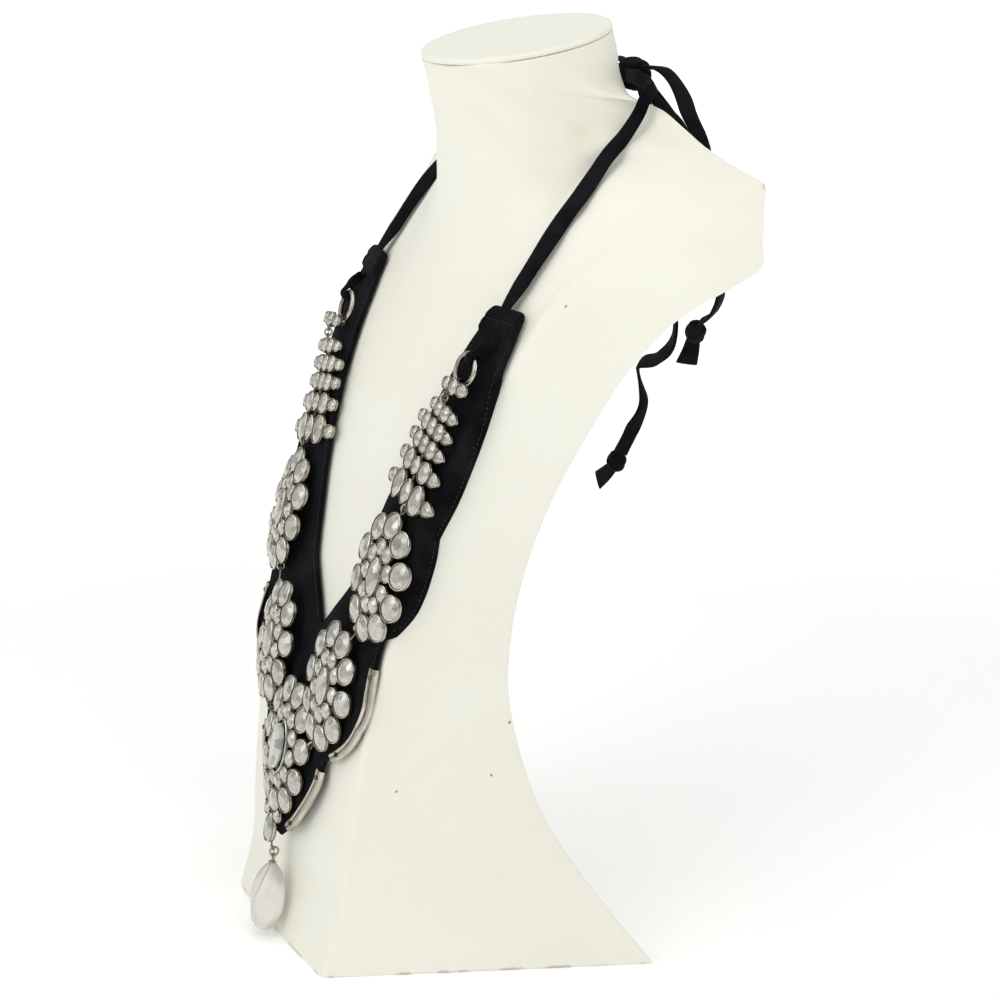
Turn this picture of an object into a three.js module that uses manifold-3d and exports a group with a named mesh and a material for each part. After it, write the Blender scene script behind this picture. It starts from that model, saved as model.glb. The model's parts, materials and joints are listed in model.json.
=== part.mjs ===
// Velvet choker necklace, tied on a plain neck bust.
//
// A V-shaped velvet bib carries five hinged silver motifs set with oval stones, two silver
// edge channels on each side and a rock-crystal drop. Velvet ribbons run from the bib's two
// cuffs round the neck and are tied in a bow at the nape. The bust is covered in leatherette.
//
// Millimetres, +Z up. The origin lies on the underside of the foot, under its middle.
// The necklace's front faces -Y and the wearer's left is +X.

import * as THREE from 'three';
import { mergeVertices } from 'three/addons/utils/BufferGeometryUtils.js';
import Module from 'manifold-3d';

const wasm = await Module();
wasm.setup();

// ---------------------------------------------------------------- driving dimensions

const GAP = 0.35;               // clearance kept between separate pieces
const NECK_TOP_Z = 446.8;       // top of the neck, under its cap
const CAP_THICKNESS = 3.2;
const NECK_TILT = Math.tan(THREE.MathUtils.degToRad(9));  // the neck's top slopes to the front
const NECK_TILT_START_Z = 428;
const NAPE_START_Z = 366;       // the nape rises from the flat back above this height
const NECK_BLEND = 22;          // width of the soft fillet from the neck to the chest
const CREASE_RADIUS = 3;        // roundness of the crease between the front and the side

const BIB_THICKNESS = 2.4;
const BIB_LIFT = 1.3;           // clearance of the bib from the bust
const TIP_LIFT = 3.8;           // how far the bib's stiff tip stands off the bust
const TIP_LIFT_TOP_Z = 135;     // above this height the bib lies close
const TIP_Z = 54;
const CUFF_THICKNESS = 3.8;     // the hem that the ribbon comes out of
const CUFF_START_Z = 322;

const CHANNEL = { width: 4.8, wall: 0.9, flange: 0.8, clear: 0.5, rivetInset: 4 };
const LARGE_STONE = { halfU: 6.1, halfV: 7.1, depth: 3.2, sides: 8 };
const SMALL_STONE = { halfU: 4.1, halfV: 4.6, depth: 2.6, sides: 6 };
const ROSETTE = { halfU: 16.6, halfV: 25.8, centreV: 0, rise: 2.6 };
const UPPER_START = 11;         // where the first stone of each rosette stands, in degrees
const LOWER_START = 28;
const CENTRE = { halfU: 19.8, halfV: 29.4, centreV: 2, rise: 3 };
const PEAR_V = -42;             // the long pear's middle, below the centre motif's
const BIG_RING = { radius: 7.6, wire: 1.3 };
const LOOP = { inner: 2.2, thickness: 1.3, width: 5, reach: 9.5, dip: 3, u: 3.8, v: 6.6, turn: -0.5 };
const BAIL = { radius: 2.8, wire: 0.6, u: -2, v: 1.2, depth: 3.2 };
const JUMP_RING = { radius: 1.9, wire: 0.5 };
const EYE = { radius: 1.35, wire: 0.4 };
const EYE_HEIGHT = 1.6;         // of the eyes over the underside of the stones
const PEAR_EYE = { radius: 1.6, wire: 0.45 };
const DROP_RING = { radius: 2.3, wire: 0.6 };
const DROP_EYE = { radius: 1.6, wire: 0.45 };
const DROP = { y: -75.5, z: 45.1, lean: THREE.MathUtils.degToRad(10), top: 6 };

const RIBBON_THICKNESS = 1.8;
const BOW_KNOT = { x: 0, y: 128, z: 427, halfX: 9, halfY: 8, halfZ: 8.5, turn: 0.2 };
const TAIL_KNOT_LEFT = { x: 60, y: 131, z: 308, halfX: 5.2, halfY: 4.8, halfZ: 6, turn: 0.5 };
const TAIL_KNOT_RIGHT = { x: -10, y: 127, z: 222.5, halfX: 5.2, halfY: 4.8, halfZ: 6, turn: 0.5 };

// ---------------------------------------------------------------- tables

function table(names, rows) {
  const keys = names.split(' ');
  return rows.map((row) => Object.fromEntries(keys.map((key, i) => [key, row[i]])));
}

// Horizontal sections of the bust, one row for each height: the depth of the front at the
// middle, the crease between front and side, the sharp back edge.
const BODY = table('z middleY creaseX creaseY edgeX edgeY', [
  [0, -76, 56.5, -74.5, 118, 81],
  [30, -67.5, 59, -65, 105, 61],
  [55, -65.5, 61, -62.5, 92.5, 46],
  [77, -63, 62.5, -60, 85, 35.5],
  [101, -59.5, 65, -56.5, 80, 28],
  [124, -55, 66.5, -53.5, 77, 23],
  [153, -46.5, 69, -47, 76.5, 20],
  [165, -43, 70, -44, 77.5, 20.5],
  [180, -39, 71.5, -40, 79, 21.5],
  [210, -31, 74.5, -30.5, 83, 27],
  [242, -22, 78, -19, 90, 36],
  [280, -8.5, 84, -2, 102, 51],
  [313, 6.5, 91, 16, 117, 65],
  [338, 20, 101, 36, 134, 81],
  [354, 30, 109, 53, 151, 98],
  [360, 34, 112, 60, 156.5, 104.5],
  [375, 47, 121, 76, 160, 105],
  [387, 65, 131, 91, 160, 105],
  [396, 85, 146, 101, 160, 105],
  [400, 95, 152, 105, 157, 106],
  [403.5, 98, 124, 106, 130, 107],
  [407.5, 99.5, 101, 106, 107, 107],
  [413, 101, 82, 106, 88, 107],
  [419, 102.5, 64, 106, 69, 107],
  [425, 104.5, 47, 106, 50, 107],
  [431, 105.5, 42, 106.5, 44, 107],
]);

// The neck's column: an upright ellipse at each height.
const NECK = table('z centreY halfX halfY', [
  [330, 65, 62, 44],
  [375, 71, 55, 45],
  [400, 72, 49.5, 48],
  [420, 69.7, 46, 49.3],
  [435, 65, 44.5, 48.5],
  [450, 61.6, 45, 46.3],
]);

// Outline of the bib's left half: the inner and the outer edge, measured along the skin of
// the bust from its middle. Cusps stand at z 229.5, 177 and 107.
const BIB = table('z inner outer', [
  [TIP_Z, -0.6, 2.5],
  [61, -0.6, 11.5],
  [67, -0.6, 18],
  [74, -0.6, 23.5],
  [81, -0.6, 28.5],
  [88, -0.6, 32.5],
  [95, -0.6, 35.5],
  [101, -0.6, 36.3],
  [107, -0.6, 38],
  [110, -0.6, 44.6],
  [114, -0.6, 50.2],
  [119, -0.6, 56.2],
  [126, -0.6, 62.2],
  [134, -0.6, 66],
  [144, -0.6, 67.9],
  [154, -0.6, 68.2],
  [163.5, -0.6, 68.2],
  [170, 5.5, 68.4],
  [177, 11, 69],
  [180, 13.7, 71.4],
  [184, 17, 75],
  [191, 22.5, 80],
  [200, 26, 82.6],
  [211, 29, 83.6],
  [221, 32, 83.6],
  [229.5, 34.7, 82.6],
  [238, 37.2, 84.8],
  [246, 39.8, 86.6],
  [260, 44, 88.2],
  [275, 48.3, 89],
  [290, 52, 89],
  [303, 54.7, 88.6],
  [318, 58, 86.8],
  [CUFF_START_Z, 59.3, 86],
  [324, 59.8, 85.6],
  [332.5, 62, 83.6],
]);

// The middle of each motif, its stones' rim, and the slope of its plane. A motif's underside
// lies at its sink below that point.
const MOTIFS = table('name x y z slopeX slopeZ sink turn', [
  ['centre', 0, -69.9, 100.6, 0, 0.21, 3.2, 0],
  ['lower_rosette', 35, -60, 146, 0.08, 0.23, 3.2, 0],
  ['upper_rosette', 58.5, -42.2, 207.3, 0.14, 0.3, 3.2, 0],
  ['row_motif', 63, -19.4, 269.3, 0.05, 0.36, 4, -0.187],
  ['stone_link', 73, -8.6, 300.6, 0.1, 0.36, 2.6, 0],
  ['big_ring', 70.1, 0.2, 306.9, 0.1, 0.36, 0, 0],
]);

// The jump rings, and the place on each motif that the ring's two eyes are soldered to.
const LINKS = table('name above below x y z aboveU aboveV belowU belowV', [
  ['link_ring_a', 'stone_link', 'row_motif', 69.5, -10.6, 294.6, -3, -1, 3, 21],
  ['link_ring_b', 'row_motif', 'upper_rosette', 62.6, -28.2, 241, 3.5, -22.6, 2, 26],
  ['link_ring_c', 'upper_rosette', 'lower_rosette', 49.5, -48, 179.5, -11, -20, 9, 23],
  ['link_ring_d', 'lower_rosette', 'centre', 27.6, -64.3, 113.2, -7.5, -23, 19, 10],
]);

// Rows of the row motif, top to bottom.
const ROWS = table('v u spacing count midU midV endU endV', [
  [20.9, 2.2, 6.6, 4, 3.9, 4.2, 3.4, 3.3],
  [11.6, -0.4, 6.9, 5, 4, 4.5, 3.5, 3.4],
  [2, -0.9, 7.1, 5, 4.1, 4.8, 3.6, 3.5],
  [-9, -0.3, 8.3, 5, 4.8, 5.8, 4, 3.7],
  [-22.6, 0.4, 9.7, 5, 5.4, 7.8, 4.6, 4],
]);

// Sections of the crystal drop, downwards from its top.
const CRYSTAL = table('down halfX halfY turn', [
  [0, 1.8, 1.7, 0],
  [5, 6.4, 5.5, 0],
  [9, 8.4, 7, 0],
  [14, 9.9, 8.1, 0],
  [21, 10.5, 8.6, 0],
  [28, 9.6, 7.9, 0],
  [33, 7.2, 5.9, 0],
  [36, 3.4, 2.8, 0],
]);

// Routes of the ribbon, each row with its width and the way that its face looks.
const STRAP = table('x y z width faceX faceY faceZ', [
  [72.2, 21.1, 336, 5, 0.25, -0.8, 0.5],
  [71.6, 28.4, 345, 8.5, 0.25, -0.8, 0.6],
  [71.4, 36.6, 355.8, 8.5, 0.3, -0.75, 0.6],
  [71, 44.5, 365.8, 8.5, 0.3, -0.7, 0.65],
  [69.8, 52.9, 375.2, 8.5, 0.3, -0.6, 0.7],
  [67.7, 62.3, 384, 8.5, 0.3, -0.5, 0.8],
  [64.8, 69.6, 390.4, 8, 0.35, -0.45, 0.82],
  [60.8, 79.4, 399, 6.5, 0.6, -0.45, 0.65],
  [57.2, 90.6, 407.4, 6, 0.75, -0.2, 0.6],
  [62, 95.6, 418.6, 6, 0.8, -0.2, 0.6],
  [59.6, 100, 424.4, 6, 0.7, 0, 0.7],
  [54.6, 106, 427.6, 6, 0.6, 0.3, 0.7],
  [50.5, 110.4, 428.4, 6.5, 0.4, 0.75, 0.5],
  [42, 112.4, 429, 7.5, 0.2, 1, 0.2],
  [31, 112.6, 428.5, 8, 0.2, 1, 0.2],
  [6.3, 120.5, 427.6, 7, 0.1, 1, 0.1],
]);

const BOW_LOOP = table('x y z width faceX faceY faceZ', [
  [8.2, 129.5, 431.2, 5, 0, 0.3, 1],
  [23, 130.5, 432, 8, 0.1, 0, 1],
  [35, 130, 428.5, 8.5, 0.3, 0, 1],
  [45, 129.5, 422, 8.5, 0.6, 0, 0.8],
  [52, 129, 414.5, 8.5, 0.7, 0, 0.7],
  [63, 128.5, 405, 8.5, 0.7, 0, 0.7],
  [71, 127.5, 395, 8.5, 0.95, 0, 0.3],
  [75.5, 127, 382, 8.5, 1, 0, 0],
  [70.5, 126.5, 376, 8.5, -0.3, 0, -1],
  [63, 126.5, 386, 8.5, -0.8, 0, -0.5],
  [53, 127.5, 400, 8.5, -0.7, 0, -0.7],
  [42, 128.5, 408, 8.5, -0.4, 0, -0.9],
  [27, 129.5, 413, 8, -0.3, 0, -1],
  [8.2, 129.5, 421.8, 5, -0.4, 0, -0.9],
]);

const TAIL_LEFT = table('x y z width faceX faceY faceZ', [
  [6.1, 134, 422.3, 6, 0.6, 0.8, 0.3],
  [28, 138.5, 406, 9, 0.6, 0.7, 0.4],
  [45, 137, 388, 9.5, 0.7, 0.7, 0.3],
  [66, 134, 360, 10, 0.7, 0.7, 0.2],
  [81, 132, 333, 10, 0.8, 0.6, -0.2],
  [76, 131, 321, 9, 0.5, 0.5, -0.8],
  [64.3, 131, 313.7, 6, 0.3, 0.8, -0.6],
]);

const TAIL_RIGHT = table('x y z width faceX faceY faceZ', [
  [-5, 134.6, 420.5, 6, -0.3, 1, 0.2],
  [4, 137, 400, 9, 0.1, 1, 0.1],
  [24, 135, 350, 9, 0.3, 1, 0],
  [38, 132, 300, 9, 0.4, 0.9, 0],
  [24, 131, 286, 8, 0.2, 1, -0.3],
  [4, 131, 277, 8, 0.5, 0.7, -0.5],
  [12, 130, 260, 6.5, 0.9, 0.4, 0.2],
  [4, 128.5, 244, 8.5, 0.9, -0.1, 0.4],
  [-6.6, 127.4, 228, 7.5, 0.8, -0.3, 0.5],
]);

// The flared ends of the ribbon, below its two stopper knots.
const END_LEFT = table('x y z width faceX faceY faceZ', [
  [58, 131, 304, 7, 0.9, -0.3, 0.1],
  [55.5, 131, 297, 9, 0.9, -0.3, 0.1],
  [52, 131, 290, 11, 0.9, -0.3, 0.1],
]);

const END_RIGHT = table('x y z width faceX faceY faceZ', [
  [-13, 127, 219, 7, 0.3, -0.85, 0.3],
  [-20, 126.5, 213, 9, 0.3, -0.85, 0.3],
  [-28, 126, 207, 10.5, 0.3, -0.85, 0.3],
]);

// ---------------------------------------------------------------- small helpers

// A smooth curve through one column of a table, read at height z.
function column(rows, name) {
  const slope = rows.slice(1).map((row, i) => (row[name] - rows[i][name]) / (row.z - rows[i].z));
  const tangent = rows.map((row, i) => {
    if (i === 0) return slope[0];
    if (i === rows.length - 1) return slope[i - 1];
    const before = row.z - rows[i - 1].z;
    const after = rows[i + 1].z - row.z;
    return (slope[i - 1] * after + slope[i] * before) / (before + after);
  });
  return (height) => {
    const z = THREE.MathUtils.clamp(height, rows[0].z, rows.at(-1).z);
    let i = 0;
    while (i < rows.length - 2 && z > rows[i + 1].z) i += 1;
    const span = rows[i + 1].z - rows[i].z;
    const t = (z - rows[i].z) / span;
    const a = rows[i][name];
    const b = rows[i + 1][name];
    return a * (1 + 2 * t) * (1 - t) ** 2 + span * tangent[i] * t * (1 - t) ** 2
      + b * (3 - 2 * t) * t ** 2 + span * tangent[i + 1] * (t - 1) * t ** 2;
  };
}

// The smaller of a and b, with a round blend where they cross.
function softMin(a, b, width) {
  const mix = THREE.MathUtils.clamp(0.5 + (0.5 * (b - a)) / width, 0, 1);
  return b * (1 - mix) + a * mix - width * mix * (1 - mix);
}

function softMax(a, b, width) {
  return -softMin(-a, -b, width);
}

function vec(x, y, z) {
  return new THREE.Vector3(x, y, z);
}

// A geometry from points and triangles given as index triples.
function meshOf(points, triangles) {
  const geometry = new THREE.BufferGeometry().setFromPoints(points);
  geometry.setIndex(triangles.flat());
  geometry.computeVertexNormals();
  return geometry;
}

// A closed solid skinned over rings of points, each ring closed by a fan at either end.
// The rings run anticlockwise as seen from the last ring, looking back to the first. The
// quads on the wearer's right are split the other way, so that both halves mirror each other.
function skinned(rings) {
  const count = rings[0].length;
  const points = rings.flat();
  const triangles = [];
  for (let r = 0; r < rings.length - 1; r += 1) {
    for (let i = 0; i < count; i += 1) {
      const a = r * count + i;
      const b = r * count + ((i + 1) % count);
      const right = points[a].x + points[b].x < 0;
      if (right) triangles.push([a, b, a + count], [b, b + count, a + count]);
      else triangles.push([a, b, b + count], [a, b + count, a + count]);
    }
  }
  for (const end of [0, rings.length - 1]) {
    const centre = points.length;
    const sum = rings[end].reduce((total, point) => total.add(point), vec(0, 0, 0));
    points.push(sum.divideScalar(count));
    for (let i = 0; i < count; i += 1) {
      const a = end * count + i;
      const b = end * count + ((i + 1) % count);
      triangles.push(end === 0 ? [b, a, centre] : [a, b, centre]);
    }
  }
  return meshOf(points, triangles);
}

// A closed wall between an inner and an outer grid of points of the same size.
function wall(inner, outer) {
  const rows = inner.length;
  const columns = inner[0].length;
  const points = [...inner.flat(), ...outer.flat()];
  const at = (r, c, side) => side * rows * columns + r * columns + c;
  const triangles = [];
  const quad = (a, b, c, d) => triangles.push([a, b, c], [a, c, d]);
  for (let r = 0; r < rows - 1; r += 1) {
    for (let c = 0; c < columns - 1; c += 1) {
      quad(at(r, c, 1), at(r, c + 1, 1), at(r + 1, c + 1, 1), at(r + 1, c, 1));
      quad(at(r, c, 0), at(r + 1, c, 0), at(r + 1, c + 1, 0), at(r, c + 1, 0));
    }
    quad(at(r, 0, 0), at(r, 0, 1), at(r + 1, 0, 1), at(r + 1, 0, 0));
    const last = columns - 1;
    quad(at(r, last, 1), at(r, last, 0), at(r + 1, last, 0), at(r + 1, last, 1));
  }
  for (let c = 0; c < columns - 1; c += 1) {
    quad(at(0, c, 0), at(0, c + 1, 0), at(0, c + 1, 1), at(0, c, 1));
    quad(at(rows - 1, c, 1), at(rows - 1, c + 1, 1), at(rows - 1, c + 1, 0), at(rows - 1, c, 0));
  }
  return meshOf(points, triangles);
}

function toSolid(geometry) {
  const bare = geometry.clone();
  bare.deleteAttribute('normal');
  bare.deleteAttribute('uv');
  const merged = mergeVertices(bare, 1e-5);
  return new wasm.Manifold(new wasm.Mesh({
    numProp: 3,
    vertProperties: new Float32Array(merged.attributes.position.array),
    triVerts: new Uint32Array(merged.index.array),
  }));
}

function fromSolid(solid) {
  const { vertProperties, triVerts, numProp } = solid.getMesh();
  const geometry = new THREE.BufferGeometry();
  const position = new Float32Array((vertProperties.length / numProp) * 3);
  for (let i = 0; i < position.length; i += 1) {
    position[i] = vertProperties[Math.floor(i / 3) * numProp + (i % 3)];
  }
  geometry.setAttribute('position', new THREE.BufferAttribute(position, 3));
  geometry.setIndex([...triVerts]);
  geometry.computeVertexNormals();
  return geometry;
}

// Pieces soldered or sewn into one solid.
function joined(geometries) {
  return fromSolid(geometries.map(toSolid).reduce((whole, next) => whole.add(next)));
}

// The same piece on the other side of the middle plane.
function mirrored(geometry) {
  const copy = geometry.clone().scale(-1, 1, 1);
  const index = copy.index.array;
  for (let i = 0; i < index.length; i += 3) {
    [index[i + 1], index[i + 2]] = [index[i + 2], index[i + 1]];
  }
  copy.computeVertexNormals();
  return copy;
}

// ---------------------------------------------------------------- the bust's skin

const body = Object.fromEntries(Object.keys(BODY[0]).map((name) => [name, column(BODY, name)]));
const neck = Object.fromEntries(Object.keys(NECK[0]).map((name) => [name, column(NECK, name)]));

function neckHalfDepth(x, z) {
  const inside = 1 - (x / neck.halfX(z)) ** 2;
  return inside > 0 ? neck.halfY(z) * Math.sqrt(inside) : 400 * inside;
}

// Depth of the front skin over the point x, z.
function frontY(x, z) {
  const side = Math.abs(x);
  const creaseX = body.creaseX(z);
  const creaseY = body.creaseY(z);
  const slope = (body.edgeY(z) - creaseY) / (body.edgeX(z) - creaseX);
  const front = body.middleY(z) + (creaseY - body.middleY(z)) * (side / creaseX) ** 2;
  const wing = creaseY + slope * (side - creaseX);
  const chest = softMax(front, wing, CREASE_RADIUS);
  return softMin(chest, neck.centreY(z) - neckHalfDepth(x, z), NECK_BLEND);
}

// Depth of the back, which is flat between the back edges but for the round nape.
function backY(x, z) {
  const nape = neck.centreY(z) + neckHalfDepth(x, z) - body.edgeY(z);
  return body.edgeY(z) + Math.max(nape, 0) * THREE.MathUtils.smoothstep(z, NAPE_START_Z, 420);
}

// The point of the skin at distance s from the middle, measured level along the surface.
function skinPoint(s, z) {
  const creaseX = body.creaseX(z);
  const side = Math.abs(s);
  if (side <= creaseX) return vec(s, frontY(s, z), z);
  const run = body.edgeX(z) - creaseX;
  const rise = body.edgeY(z) - body.creaseY(z);
  const x = creaseX + ((side - creaseX) * run) / Math.hypot(run, rise);
  return vec(Math.sign(s) * x, frontY(x, z), z);
}

function skinNormal(s, z, reach = 1.5) {
  const along = skinPoint(s + reach, z).sub(skinPoint(s - reach, z));
  const up = skinPoint(s, z + reach).sub(skinPoint(s, z - reach));
  return along.cross(up).normalize();
}

// ---------------------------------------------------------------- the bust

function bustGeometry() {
  const frontSteps = 13;
  const creaseStep = 10;
  const backSteps = 6;
  const heights = [...BODY.map((row) => row.z), 15, 44, 326, 366, 381, 392, 435, 441, NECK_TOP_Z]
    .sort((a, b) => a - b);
  const rings = heights.map((z) => {
    const bare = THREE.MathUtils.smoothstep(z, 380, 420);
    const halfWidth = z > 425 ? neck.halfX(z) : Math.max(body.edgeX(z), neck.halfX(z));
    const creaseX = Math.min(body.creaseX(z), 0.85 * halfWidth);
    const sideX = (i) => {
      const share = i <= creaseStep
        ? (creaseX / halfWidth) * (i / creaseStep)
        : creaseX / halfWidth + (1 - creaseX / halfWidth) * ((i - creaseStep) / (frontSteps - creaseStep));
      const round = Math.sin((i / frontSteps) * (Math.PI / 2));
      return halfWidth * THREE.MathUtils.lerp(share, round, bare);
    };
    const tilt = (y) => z + NECK_TILT * (y - neck.centreY(z))
      * THREE.MathUtils.smoothstep(z, NECK_TILT_START_Z, NECK_TOP_Z);
    const ring = [];
    for (let i = -frontSteps; i <= frontSteps; i += 1) {
      const x = Math.sign(i) * sideX(Math.abs(i));
      const y = frontY(x, z);
      ring.push(vec(x, y, tilt(y)));
    }
    for (let i = backSteps - 1; i > -backSteps; i -= 1) {
      const x = halfWidth * Math.sin((i / backSteps) * (Math.PI / 2));
      const y = z > 425 ? neck.centreY(z) + Math.max(neckHalfDepth(x, z), 0) : backY(x, z);
      ring.push(vec(x, y, tilt(y)));
    }
    return ring;
  });
  return skinned(rings);
}

// The flat disc that closes the neck.
function neckCapGeometry() {
  const count = 32;
  const ring = (lift, inset) => Array.from({ length: count }, (_, i) => {
    const angle = (i / count) * 2 * Math.PI;
    const x = (neck.halfX(NECK_TOP_Z) - inset) * Math.cos(angle);
    const y = (neck.halfY(NECK_TOP_Z) - inset) * Math.sin(angle);
    return vec(x, y + neck.centreY(NECK_TOP_Z), NECK_TOP_Z + lift + NECK_TILT * y);
  });
  return skinned([ring(GAP, 0.2), ring(CAP_THICKNESS - 0.8, 0), ring(CAP_THICKNESS, 0.9)]);
}

// ---------------------------------------------------------------- the velvet bib

function bibLift(z) {
  return BIB_LIFT + TIP_LIFT * (1 - THREE.MathUtils.smoothstep(z, TIP_Z, TIP_LIFT_TOP_Z));
}

// A point at the given height over the bib's underside.
function overBib(s, z, height) {
  return skinPoint(s, z).addScaledVector(skinNormal(s, z), bibLift(z) + height);
}

// Columns of points across the left half, one of them on the bust's crease.
function bibColumns({ z, inner, outer }) {
  const crease = Math.min(body.creaseX(z), outer - 0.02 * (outer - inner));
  const front = [0, 1, 2, 3, 4].map((i) => inner + ((crease - inner) * i) / 4);
  const side = [1, 2].map((i) => crease + ((outer - crease) * i) / 2);
  return [...front, ...side];
}

function bibGeometry() {
  const grid = (height) => BIB.map((row) => bibColumns(row).map((s) => overBib(s, row.z, height(row.z))));
  const thickness = (z) => (z > CUFF_START_Z ? CUFF_THICKNESS : BIB_THICKNESS);
  const half = wall(grid(() => 0), grid(thickness));
  return joined([half, mirrored(half)]);
}

const bibInner = column(BIB, 'inner');
const bibOuter = column(BIB, 'outer');

// ---------------------------------------------------------------- silver edge channels

// The bib's outer edge at one height: across points away from the bib, out away from the bust.
function edgeFrame(z) {
  const s = bibOuter(z);
  const along = overBib(bibOuter(z + 1), z + 1, 0).sub(overBib(bibOuter(z - 1), z - 1, 0)).normalize();
  const out = skinNormal(s, z);
  const across = along.clone().cross(out).normalize();
  out.crossVectors(across, along);
  const point = (side, height) => overBib(s, z, 0)
    .addScaledVector(across, side).addScaledVector(out, height);
  return { point, out };
}

// A strip along the edge, its section's corners given clockwise as [across, out].
function edgeStrip(fromZ, toZ, corners) {
  const heights = BIB.map((row) => row.z).filter((z) => z >= fromZ && z <= toZ);
  return skinned(heights.map((z) => {
    const { point } = edgeFrame(z);
    return corners.map(([across, height]) => point(across, height));
  }));
}

// An angle strip that covers the bib's edge, with a rivet near each end.
function channelGeometry(fromZ, toZ) {
  const under = BIB_THICKNESS + GAP;
  const top = under + CHANNEL.flange;
  const outside = CHANNEL.clear + CHANNEL.wall;
  const inside = outside - CHANNEL.width;
  const face = edgeStrip(fromZ, toZ, [[inside, under], [inside, top], [outside, top], [outside, under]]);
  const rim = edgeStrip(fromZ, toZ, [
    [CHANNEL.clear, 0], [CHANNEL.clear, top - 0.1], [outside, top - 0.1], [outside, 0],
  ]);
  const rivets = [fromZ + CHANNEL.rivetInset, toZ - CHANNEL.rivetInset].map((z) => {
    const { point, out } = edgeFrame(z);
    const rivet = new THREE.CylinderGeometry(1, 1.2, 1, 10).rotateX(Math.PI / 2);
    rivet.applyQuaternion(new THREE.Quaternion().setFromUnitVectors(vec(0, 0, 1), out));
    return rivet.translate(...point((inside + outside) / 2, top + 0.2).toArray());
  });
  return joined([face, rim, ...rivets]);
}

// ---------------------------------------------------------------- stones, bars and rings

// One stone in its bezel: a slightly tapered oval box that stands on h = 0. A positive point
// narrows it towards +V.
function bezel({ halfU, halfV, depth, sides }, point = 0) {
  const shape = new THREE.CylinderGeometry(0.94, 1, depth, sides);
  shape.rotateX(Math.PI / 2);
  shape.translate(0, 0, depth / 2);
  const position = shape.attributes.position;
  for (let i = 0; i < position.count; i += 1) {
    const v = position.getY(i);
    position.setXY(i, position.getX(i) * halfU * (1 - point * v), v * halfV);
  }
  return shape;
}

// A square wire between two points.
function bar(from, to, thickness) {
  const box = new THREE.BoxGeometry(thickness, thickness, from.distanceTo(to));
  const turn = new THREE.Quaternion().setFromUnitVectors(vec(0, 0, 1), to.clone().sub(from).normalize());
  return box.applyQuaternion(turn).translate(...from.clone().lerp(to, 0.5).toArray());
}

function wireRing({ radius, wire, sides = 5, steps = 10 }) {
  return new THREE.TorusGeometry(radius, wire, sides, steps);
}

// Places evenly spread round an oval.
function ovalPlaces({ count, halfU, halfV, start, centreV = 0 }) {
  return Array.from({ length: count }, (_, i) => {
    const angle = THREE.MathUtils.degToRad(start + (360 * i) / count);
    return { u: halfU * Math.cos(angle), v: centreV + halfV * Math.sin(angle) };
  });
}

// A stone raised and tipped to lie on a motif's dome.
function domed(stone, { u, v }, dome) {
  const fall = (u / dome.halfU) ** 2 + ((v - dome.centreV) / dome.halfV) ** 2;
  const geometry = stone.clone();
  geometry.rotateX((-2 * dome.rise * (v - dome.centreV)) / dome.halfV ** 2);
  geometry.rotateY((2 * dome.rise * u) / dome.halfU ** 2);
  return geometry.translate(u, v, dome.rise * (1 - fall));
}

// ---------------------------------------------------------------- motifs in their own plane

// Every motif is drawn in its own plane: u to the wearer's left, v up, the height outwards.
// Short spokes tie its outer stones to the inner ones.

function spokes(places, { centreV }) {
  return places.map(({ u, v }) => (
    bar(vec(u, v, 0.9), vec(0.5 * u, centreV + 0.5 * (v - centreV), 1.9), 1)
  ));
}

function rosetteGeometry(start) {
  const outer = ovalPlaces({ count: 10, halfU: ROSETTE.halfU, halfV: ROSETTE.halfV, start });
  const inner = ovalPlaces({ count: 9, halfU: 8.7, halfV: 14.5, start: start + 4 });
  const large = bezel(LARGE_STONE);
  const small = bezel(SMALL_STONE);
  const centre = bezel({ halfU: 5.2, halfV: 10.2, depth: 3.2, sides: 12 });
  return joined([
    centre.translate(0, 0, ROSETTE.rise),
    ...outer.map((place) => domed(large, place, ROSETTE)),
    ...inner.map((place) => domed(small, place, ROSETTE)),
    ...spokes(outer, ROSETTE),
  ]);
}

function centreMotifGeometry() {
  const { centreV } = CENTRE;
  const outer = ovalPlaces({ count: 11, halfU: CENTRE.halfU, halfV: CENTRE.halfV, start: -90, centreV });
  const inner = ovalPlaces({ count: 11, halfU: 11.4, halfV: 18.2, start: 90, centreV });
  const large = bezel(LARGE_STONE);
  const small = bezel(SMALL_STONE);
  const seat = bezel({ halfU: 8, halfV: 14.6, depth: 2, sides: 14 });
  const pear = bezel({ halfU: 4.6, halfV: 8.1, depth: 3.4, sides: 10 }, 0.2);
  const bud = bezel({ halfU: 3.2, halfV: 3.6, depth: 2.8, sides: 8 });
  return joined([
    seat.translate(0, centreV, CENTRE.rise),
    ...outer.map((place) => domed(large, place, CENTRE)),
    ...inner.map((place) => domed(small, place, CENTRE)),
    ...spokes(outer, CENTRE),
    pear.translate(0, PEAR_V, 0),
    bud.clone().translate(-5.8, PEAR_V + 8.2, 0.2),
    bud.clone().translate(5.8, PEAR_V + 8.2, 0.2),
    bar(vec(-5.8, PEAR_V + 8.2, 1), vec(5.8, PEAR_V + 8.2, 1), 1.2),
    bar(vec(0, PEAR_V, 1), vec(0, centreV - CENTRE.halfV, 1), 1.2),
  ]);
}

// The big faceted oval crystal in the middle of the centre motif.
function centreCrystalGeometry() {
  const ring = (halfU, halfV, height) => Array.from({ length: 12 }, (_, i) => {
    const angle = (i / 12) * 2 * Math.PI;
    return vec(halfU * Math.cos(angle), CENTRE.centreV + halfV * Math.sin(angle), height);
  });
  const base = CENTRE.rise + 2 + GAP;
  return skinned([ring(6.2, 12, base), ring(6.2, 12, base + 1.4), ring(3.2, 8.4, base + 3.4)]);
}

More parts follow.
